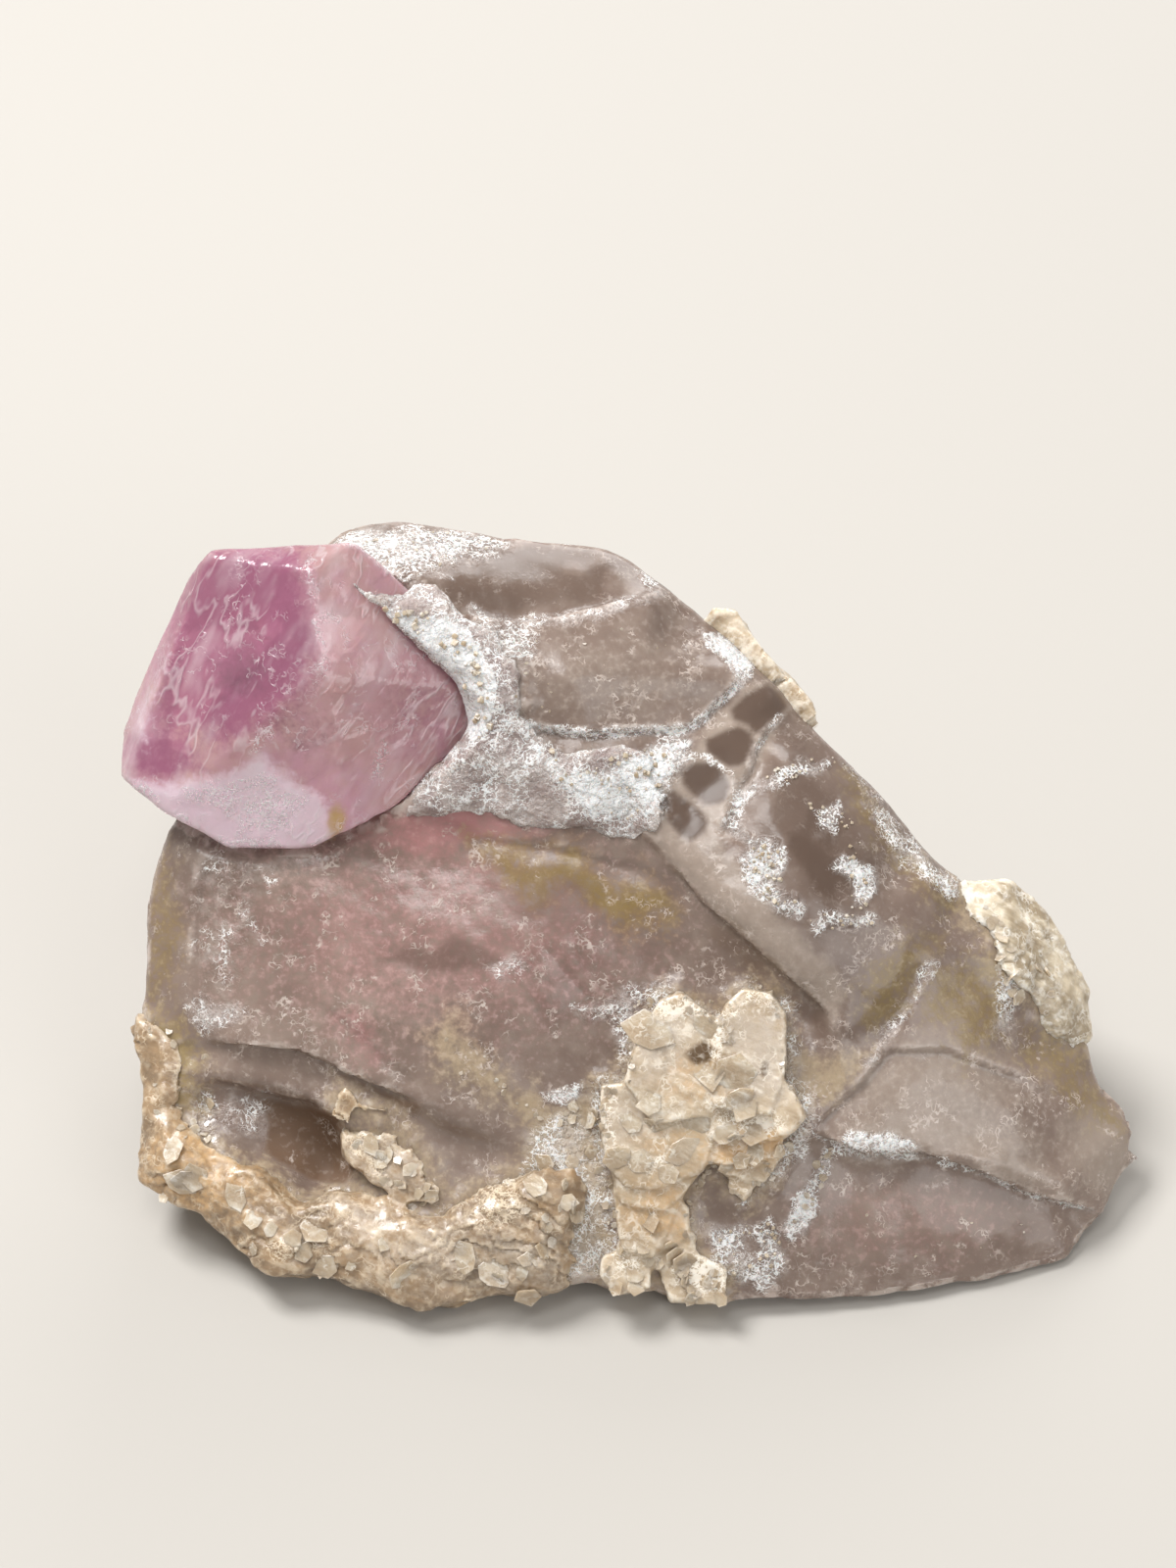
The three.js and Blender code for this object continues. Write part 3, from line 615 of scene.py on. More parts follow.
class Effects:
    """Builds each shared effect once, as a shader node group."""

    def __init__(self) -> None:
        """Builds all of them."""
        self.trees = {
            Effect.SOFT: self.soft(),
            Effect.FROST: self.frost(),
            Effect.SILK: self.silk(),
            Effect.PLATES: self.plates(),
        }

    def start(
        self, effect: Effect, inputs: dict[str, float], outputs: tuple[str, ...]
    ) -> tuple[Nodes, bpy.types.Node, bpy.types.Node, bpy.types.NodeSocket]:
        """Starts a group whose first input is its coordinates.

        Args:
            effect: which one.
            inputs: each number that it takes, with its usual value. Size scales the pattern.
            outputs: each number that it gives.

        Returns:
            The group's nodes, its input, its output, and its scaled coordinates.
        """
        tree = bpy.data.node_groups.new(effect.value, "ShaderNodeTree")
        tree.interface.new_socket("Vector", in_out="INPUT", socket_type="NodeSocketVector")
        for key, value in inputs.items():
            tree.interface.new_socket(key, in_out="INPUT", socket_type="NodeSocketFloat").default_value = value
        for key in outputs:
            tree.interface.new_socket(key, in_out="OUTPUT", socket_type="NodeSocketFloat")
        source, sink = tree.nodes.new("NodeGroupInput"), tree.nodes.new("NodeGroupOutput")
        nodes = Nodes(tree)
        scaled = nodes.add("VectorMath", operation="SCALE")
        nodes.feed(scaled, 0, source.outputs["Vector"])
        nodes.feed(scaled, "Scale", source.outputs["Size"])
        return nodes, source, sink, scaled.outputs[0]

    def soft(self) -> bpy.types.NodeTree:
        """A painted cover that fades out gently, with the grain it is given in its fading edge."""
        n, source, sink, _ = self.start(
            Effect.SOFT, {"Size": 1.0, "Cover": 0.0, "Grain": 0.5, "Ragged": 0.5}, ("Mask",)
        )
        grain = n.math("SUBTRACT", source.outputs["Grain"], 0.5)
        push = n.math("MULTIPLY", grain, n.math("MULTIPLY", source.outputs["Ragged"], 1.6))
        mask = n.ramp(n.math("ADD", source.outputs["Cover"], push), 0.05, 0.95)
        n.feed(sink, "Mask", n.math("MULTIPLY", mask, n.ramp(source.outputs["Cover"], 0.0, 0.15)))
        return n.tree

    def line(self, n: Nodes, where: bpy.types.NodeSocket, scale: float, width: Value) -> Value:
        """Curling thin lines, from where noise passes through its middle.

        Args:
            n: the nodes to add to.
            where: the coordinates.
            scale: how many curls a metre.
            width: how wide the lines are, as a share of a curl.

        Returns:
            1 on a line and 0 beside it.
        """
        aside = n.math("ABSOLUTE", n.math("SUBTRACT", n.speckle(where, scale, 2), 0.5))
        return n.ramp(aside, width, n.math("MULTIPLY", width, 0.25))

    def frost(self) -> bpy.types.NodeTree:
        """White frosting: a filigree of lines that thickens into a grainy coat with its cover."""
        n, source, sink, where = self.start(Effect.FROST, {"Size": 1.0, "Cover": 0.0}, ("Mask", "Height"))
        cover = source.outputs["Cover"]
        fine = n.speckle(where, 2800, 4)
        patchy = n.speckle(where, 620, 3)
        there = n.math("ADD", cover, n.math("MULTIPLY", n.math("SUBTRACT", patchy, 0.5), 1.5))
        width = n.math("ADD", 0.008, n.math("MULTIPLY", n.math("MAXIMUM", there, 0.0), 0.05))
        lines = n.math("MAXIMUM", self.line(n, where, 1500, width), self.line(n, where, 2900, width))
        lines = n.math("MULTIPLY", lines, n.ramp(there, 0.22, 0.5))
        need = n.math("SUBTRACT", 0.82, n.math("MULTIPLY", there, 0.45))
        coat = n.ramp(n.math("ADD", fine, n.math("MULTIPLY", lines, 0.12)), need, n.math("ADD", need, 0.1))
        mask = n.math("MULTIPLY", n.math("MAXIMUM", lines, coat), n.ramp(cover, 0.02, 0.12))
        n.feed(sink, "Mask", mask)
        crust = n.math("MULTIPLY", n.ramp(fine, 0.4, 0.65), n.ramp(cover, 0.1, 0.7))
        n.feed(sink, "Height", crust)
        return n.tree

    def silk(self) -> bpy.types.NodeTree:
        """Short curled hairs of light, as fine cracks and fibres give."""
        n, source, sink, where = self.start(Effect.SILK, {"Size": 1.0, "Density": 0.5}, ("Mask",))
        lines = n.math("MAXIMUM", self.line(n, where, 1150, 0.03), self.line(n, where, 2100, 0.036))
        need = n.math("SUBTRACT", 0.7, n.math("MULTIPLY", source.outputs["Density"], 0.35))
        gate = n.ramp(n.speckle(where, 520, 4), need, n.math("ADD", need, 0.06))
        bright = n.ramp(n.speckle(where, 2300, 1), 0.35, 0.7)
        n.feed(sink, "Mask", n.math("MULTIPLY", lines, n.math("MULTIPLY", gate, bright)))
        return n.tree

    def plates(self) -> bpy.types.NodeTree:
        """Packed flat crystals: each has a shade and a tilt of its own."""
        n, _, sink, where = self.start(Effect.PLATES, {"Size": 1.0}, ("Shade", "Height"))
        warp = n.add("TexNoise", Scale=700.0, Detail=2.0, Vector=where)
        shift = n.add("VectorMath", operation="MULTIPLY_ADD")
        n.feed(shift, 0, warp.outputs["Color"])
        n.feed(shift, 1, (0.0009, 0.0009, 0.0009))
        n.feed(shift, 2, where)
        cells = n.add("TexVoronoi", Scale=900.0, Vector=shift.outputs[0])
        random = n.add("SeparateColor")
        n.feed(random, 0, cells.outputs["Color"])
        from_middle = n.add("VectorMath", operation="SUBTRACT")
        n.feed(from_middle, 0, shift.outputs[0])
        n.feed(from_middle, 1, cells.outputs["Position"])
        lean = n.add("VectorMath", operation="SUBTRACT")
        n.feed(lean, 0, cells.outputs["Color"])
        n.feed(lean, 1, (0.5, 0.5, 0.5))
        slope = n.add("VectorMath", operation="DOT_PRODUCT")
        n.feed(slope, 0, from_middle.outputs[0])
        n.feed(slope, 1, lean.outputs[0])
        tilt = n.math("MULTIPLY", slope.outputs["Value"], 1000.0)
        step = n.math("MULTIPLY", random.outputs[2], 0.4)
        n.feed(sink, "Shade", random.outputs[0])
        n.feed(sink, "Height", n.math("ADD", tilt, step))
        return n.tree


class Surface:
    """A material's Principled shader, with its coordinates and the shared effects at hand."""

    def __init__(self, name: str, effects: Effects) -> None:
        """Starts a material with its shader and output."""
        self.material = bpy.data.materials.new(name)
        self.material.use_nodes = True
        self.effects = effects
        self.nodes = Nodes(self.material.node_tree)
        self.shader = self.material.node_tree.nodes["Principled BSDF"]
        self.output = self.material.node_tree.nodes["Material Output"]
        self.where = self.nodes.add("TexCoord").outputs["Object"]
        self.grain = self.nodes.speckle(self.where, 2600, 2)

    def plain(self, **values: object) -> None:
        """Sets plain values on the shader's own sockets, with _ for a space."""
        for key, value in values.items():
            self.shader.inputs[key.replace("_", " ")].default_value = value

    def join(self, socket: str, value: Value) -> None:
        """Joins one of the shader's sockets."""
        self.nodes.feed(self.shader, socket, value)

    def place(self, effect: Effect, **inputs: Value) -> bpy.types.bpy_prop_collection:
        """Places a shared effect with its own values.

        Args:
            effect: which one.
            inputs: its inputs.

        Returns:
            All its results by name.
        """
        node = self.nodes.add("Group", node_tree=self.effects.trees[effect])
        self.nodes.feed(node, "Vector", self.where)
        for key, value in inputs.items():
            self.nodes.feed(node, key, value)
        return node.outputs

    def effect(self, effect: Effect, **inputs: Value) -> bpy.types.NodeSocket:
        """Places a shared effect and takes its mask."""
        return self.place(effect, **inputs)["Mask"]

    def tint(self, colour: Value, mask: Mask, tint: tuple, share: float, ragged: float) -> Value:
        """Lays a painted mask's tint over a colour.

        Args:
            colour: what is there already.
            mask: the painted mask.
            tint: the colour that it brings.
            share: how much of it, from 0 to 1.
            ragged: how broken its border is.

        Returns:
            The mixed colour.
        """
        painted = self.nodes.painted(mask.value)
        cover = self.effect(Effect.SOFT, Cover=painted, Grain=self.grain, Ragged=ragged)
        return self.nodes.blend(self.nodes.math("MULTIPLY", cover, share), colour, tint)

    def bump(self, height: Value, depth: float, after: Value | None = None) -> bpy.types.NodeSocket:
        """Turns a height into a normal.

        Args:
            height: the height socket, from 0 to 1.
            depth: how deep 1 is, in mm.
            after: a normal to bump further.

        Returns:
            The normal.
        """
        node = self.nodes.add("Bump", Strength=1.0, Distance=depth * MM, Height=height)
        if after is not None:
            self.nodes.feed(node, "Normal", after)
        return node.outputs[0]


def rgb(red: float, green: float, blue: float) -> tuple[float, float, float, float]:
    """A colour as it looks on screen, 0 to 255, as the linear colour that nodes take."""
    return (*((c / 255) ** 2.2 for c in (red, green, blue)), 1.0)


@dataclass(frozen=True)
class SmokyQuartz:
    """Hazy mauve-grey quartz, glassy on its fresh breaks and frosted elsewhere."""

    name: str = "smoky quartz"
    coat: float = 0.0
    smoke: tuple = rgb(146, 127, 116)
    deep: tuple = rgb(126, 108, 98)
    haze: tuple = rgb(172, 157, 144)
    pink: tuple = rgb(190, 129, 131)
    stain: tuple = rgb(144, 121, 62)
    dark: tuple = rgb(98, 80, 69)
    # brown used as painted shade in the hollow and under the shelf over it
    brown: tuple = rgb(112, 86, 65)
    cream: tuple = rgb(184, 164, 134)
    frost: tuple = rgb(255, 254, 252)
    milk: tuple = rgb(224, 216, 212)
    silk: tuple = rgb(216, 202, 192)

    def dress(self, effects: Effects) -> bpy.types.Material:
        """Makes the material.

        Args:
            effects: the shared effects.

        Returns:
            The material.
        """
        s = Surface(self.name, effects)
        n = s.nodes
        cloud = n.speckle(s.where, 110, 3)
        mottle = n.speckle(s.where, 900, 4)
        dark = n.painted(Mask.DARK.value)
        clear = n.math("SUBTRACT", 1.0, dark, clamp=True)
        colour = n.blend(n.ramp(cloud, 0.35, 0.65), self.deep, self.smoke)
        colour = n.blend(n.math("MULTIPLY", n.ramp(mottle, 0.4, 0.75), 0.3), colour, self.haze)
        colour = s.tint(colour, Mask.HAZE, self.haze, 0.85, 0.5)
        colour = s.tint(colour, Mask.PINK, self.pink, 0.8, 0.5)
        colour = s.tint(colour, Mask.CREAM, self.cream, 0.8, 0.9)
        colour = s.tint(colour, Mask.STAIN, self.stain, 0.75, 0.9)
        colour = s.tint(colour, Mask.DARK, self.dark, 0.95, 0.1)
        # Painted shade: the hollow's floor and the strip under the shelf over it turn dark brown.
        colour = s.tint(colour, Mask.BROWN, self.brown, 0.95, 0.1)
        hairs = n.math("MULTIPLY", s.effect(Effect.SILK, Density=0.5, Size=1.0), clear)
        colour = n.blend(n.math("MULTIPLY", hairs, 0.8), colour, self.silk)
        # lighter along the ridges, where the surface folds outwards
        ridge_marks = n.math("MULTIPLY", n.painted("ridge"), n.ramp(mottle, 0.4, 0.6))
        colour = n.blend(n.math("MULTIPLY", ridge_marks, 0.6), colour, self.silk)
        dust = n.math("MULTIPLY", n.ramp(s.grain, 0.52, 0.72), clear)
        colour = n.blend(n.math("MULTIPLY", dust, 0.16), colour, self.silk)
        cover = n.math("MAXIMUM", n.painted(Mask.FROST.value), self.coat)
        milky = n.ramp(n.math("ADD", cover, n.math("SUBTRACT", mottle, 0.5)), 0.15, 1.0)
        colour = n.blend(n.math("MULTIPLY", milky, 0.8), colour, self.milk)
        frost = s.place(Effect.FROST, Cover=cover, Size=1.0)
        colour = n.blend(n.math("MULTIPLY", frost["Mask"], 0.95), colour, self.frost)
        s.join("Base Color", colour)
        # The painted shade of the hollow is also made rougher, so that it shows no gloss.
        dull = n.painted(Mask.BROWN.value)
        s.join("Roughness", n.total((mottle, 0.3), (frost["Mask"], 0.3), (dull, 0.5), (1.0, 0.06)))
        height = n.math("MULTIPLY", n.total((mottle, 0.35), (ridge_marks, 0.3)), clear)
        s.join("Normal", s.bump(n.math("ADD", height, frost["Height"]), 0.12))
        s.plain(
            Subsurface_Weight=0.35,
            Subsurface_Radius=(1.0, 0.8, 0.7),
            Subsurface_Scale=0.0012,
            Transmission_Weight=0.25,
            IOR=1.54,
        )
        return s.material


@dataclass(frozen=True)
class PinkTourmaline:
    """See-through pink crystal with milky veils and a grey-green cloud."""

    rose: tuple = rgb(212, 164, 180)
    deep: tuple = rgb(167, 98, 130)
    pale: tuple = rgb(255, 230, 242)
    peach: tuple = rgb(214, 174, 172)
    cloud: tuple = rgb(126, 88, 104)
    veil: tuple = rgb(255, 248, 250)
    stain: tuple = rgb(206, 176, 108)
    absorbed: tuple = rgb(250, 230, 238)
    density: float = 15.0

    def dress(self, effects: Effects) -> bpy.types.Material:
        """Makes the material.

        Args:
            effects: the shared effects.

        Returns:
            The material.
        """
        s = Surface("pink tourmaline", effects)
        n = s.nodes
        smoky = n.speckle(s.where, 260, 4)
        wisps = n.streaks(s.where, 420, -58, 3.0)
        fine = n.streaks(s.where, 1500, -58, 2.5)
        colour = n.blend(n.ramp(smoky, 0.38, 0.62), self.rose, self.peach)
        colour = s.tint(colour, Mask.STAIN, self.peach, 0.8, 0.6)
        colour = s.tint(colour, Mask.PINK, self.deep, 0.9, 0.45)
        colour = s.tint(colour, Mask.HAZE, self.pale, 0.95, 0.7)
        colour = n.blend(n.math("MULTIPLY", n.ramp(wisps, 0.5, 0.72), 0.32), colour, self.veil)
        # The same tint also paints the shadow in the slit under the crystal's lower edge.
        colour = s.tint(colour, Mask.DARK, self.cloud, 0.75, 0.5)
        colour = s.tint(colour, Mask.CREAM, self.stain, 0.9, 0.4)
        thread = n.math("ABSOLUTE", n.math("SUBTRACT", wisps, 0.5))
        thread = n.math("MULTIPLY", n.ramp(thread, 0.03, 0.0), n.ramp(smoky, 0.45, 0.6))
        frost = s.effect(Effect.FROST, Cover=n.painted(Mask.FROST.value), Size=0.9)
        white = n.math("MAXIMUM", n.math("MULTIPLY", thread, 0.5), frost)
        silk = s.effect(Effect.SILK, Density=0.5, Size=0.8)
        white = n.math("MAXIMUM", white, n.math("MULTIPLY", silk, 0.55))
        # lighter along the ridges, where the surface folds outwards
        ridge_marks = n.math("MULTIPLY", n.painted("ridge"), n.ramp(fine, 0.4, 0.6))
        white = n.math("MAXIMUM", white, n.math("MULTIPLY", ridge_marks, 0.7))
        colour = n.blend(n.math("MULTIPLY", white, 0.75), colour, self.veil)
        s.join("Base Color", colour)
        s.join("Roughness", n.total((white, 0.3), (fine, 0.16), (1.0, 0.03)))
        s.join("Normal", s.bump(n.total((fine, 0.3), (white, 0.3), (wisps, 0.4)), 0.12))
        s.plain(
            IOR=1.63,
            Subsurface_Weight=0.4,
            Subsurface_Radius=(1.0, 0.75, 0.85),
            Subsurface_Scale=0.0012,
            Transmission_Weight=0.5,
        )
        volume = n.add("VolumeAbsorption", Color=self.absorbed, Density=self.density)
        s.material.node_tree.links.new(volume.outputs[0], s.output.inputs["Volume"])
        return s.material


@dataclass(frozen=True)
class FlakyCrust:
    """Mica or albite: pale, grainy or layered, and a little see-through."""

    name: str
    body: tuple
    shade: tuple
    light: tuple
    stain: tuple = rgb(206, 166, 116)
    dark: tuple = rgb(84, 62, 34)
    haze: tuple = rgb(186, 172, 156)
    grain: float = 1.0
    gloss: float = 0.34
    plated: float = 0.15
    slope: float = 24.0

    def dress(self, effects: Effects) -> bpy.types.Material:
        """Makes the material.

        Args:
            effects: the shared effects.

        Returns:
            The material.
        """
        s = Surface(self.name, effects)
        n = s.nodes
        broad = n.speckle(s.where, 260 * self.grain, 4)
        fine = n.speckle(s.where, 1900 * self.grain, 4)
        sheets = n.streaks(s.where, 1000 * self.grain, self.slope)
        plates = s.place(Effect.PLATES, Size=self.grain)
        streaky = n.total((broad, 0.4), (sheets, 0.6))
        colour = n.blend(n.ramp(streaky, 0.42, 0.58), self.shade, self.body)
        colour = n.blend(n.math("MULTIPLY", plates["Shade"], self.plated), colour, self.shade)
        colour = n.blend(n.math("MULTIPLY", n.ramp(fine, 0.5, 0.75), 0.35), colour, self.light)
        colour = s.tint(colour, Mask.HAZE, self.haze, 0.85, 0.8)
        colour = s.tint(colour, Mask.STAIN, self.stain, 0.8, 0.6)
        colour = s.tint(colour, Mask.DARK, self.dark, 0.95, 0.4)
        hairs = s.effect(Effect.SILK, Density=0.75, Size=0.8)
        # lighter along the ridges, where the surface folds outwards
        ridge_marks = n.math("MULTIPLY", n.painted("ridge"), n.ramp(fine, 0.38, 0.58))
        frost = s.effect(Effect.FROST, Cover=n.painted(Mask.FROST.value), Size=1.0)
        bright = n.math("MULTIPLY", n.ramp(sheets, 0.56, 0.66), n.ramp(fine, 0.42, 0.55))
        faint = n.math("MULTIPLY", n.math("MAXIMUM", ridge_marks, bright), 0.6)
        faint = n.math("MAXIMUM", faint, n.math("MULTIPLY", hairs, 0.7))
        white = n.math("MAXIMUM", faint, frost)
        colour = n.blend(n.math("MULTIPLY", white, 0.85), colour, self.light)
        s.join("Base Color", colour)
        s.join("Roughness", n.total((fine, 0.3), (plates["Shade"], 0.12), (1.0, self.gloss - 0.2)))
        tilts = n.math("MULTIPLY", plates["Height"], self.plated)
        s.join("Normal", s.bump(n.total((fine, 0.4), (sheets, 0.45), (tilts, 1.2)), 0.18))
        s.plain(
            Subsurface_Weight=0.4,
            Subsurface_Radius=(1.0, 0.85, 0.65),
            Subsurface_Scale=0.001,
            IOR=1.56,
            Coat_Weight=0.3,
            Coat_Roughness=0.2,
        )
        return s.material


def settle(sculpt: Sculpt, material: bpy.types.Material, node: str = "") -> None:
    """Dresses a finished piece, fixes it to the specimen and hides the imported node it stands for.

    Args:
        sculpt: the piece.
        material: its finish.
        node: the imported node, where it stands for one.
    """
    sculpt.mesh.materials.clear()
    sculpt.mesh.materials.append(material)
    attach(sculpt.piece, "root")
    if node:
        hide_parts(node)
    log.info("%s: %d faces", sculpt.piece.name, len(sculpt.mesh.polygons))


WINDOWS: tuple[Patch, ...] = (
    Patch(
        "upper window",
        (
            (4.47, 10.3), (5.27, 11.06), (6.34, 11.64), (7.06, 11.2), (7.46, 10.39),
            (6.79, 9.86), (6.08, 9.05), (5.63, 9.14), (5.36, 9.5), (4.65, 9.77),
        ),
        soft=0.22, fray=0.06,
    ),
    Patch(
        "second window",
        (
            (3.17, 8.79), (3.66, 8.96), (4.2, 9.23), (4.91, 9.46), (5.45, 9.14), (5.85, 8.43),
            (5.63, 7.85), (5.0, 7.45), (4.38, 7.4), (3.84, 7.76), (3.31, 8.16),
        ),
        soft=0.22, fray=0.06,
    ),
    Patch(
        "third window",
        (
            (1.97, 7.09), (2.5, 7.54), (3.22, 7.63), (3.84, 7.45), (4.29, 6.73),
            (4.47, 6.11), (4.11, 5.57), (3.22, 5.39), (2.59, 5.93), (2.06, 6.46),
        ),
        soft=0.22, fray=0.06,
    ),
    Patch(
        "lowest window",
        (
            (0.9, 5.93), (1.61, 6.15), (2.33, 5.57), (2.95, 5.13), (3.31, 4.59),
            (3.13, 4.05), (2.5, 3.56), (1.88, 3.88), (1.26, 4.59),
        ),
        soft=0.22, fray=0.06,
    ),
)

WINDOWED_SHOULDER = Patch(
    "shoulder with the windows",
    ((0.3, 4.6), (2.5, 2.8), (4.8, 5.0), (6.6, 7.6), (8.2, 10.2), (6.4, 12.0), (4.2, 10.4), (2.0, 8.2)),
    1.0, 0.6, 0.0,
)

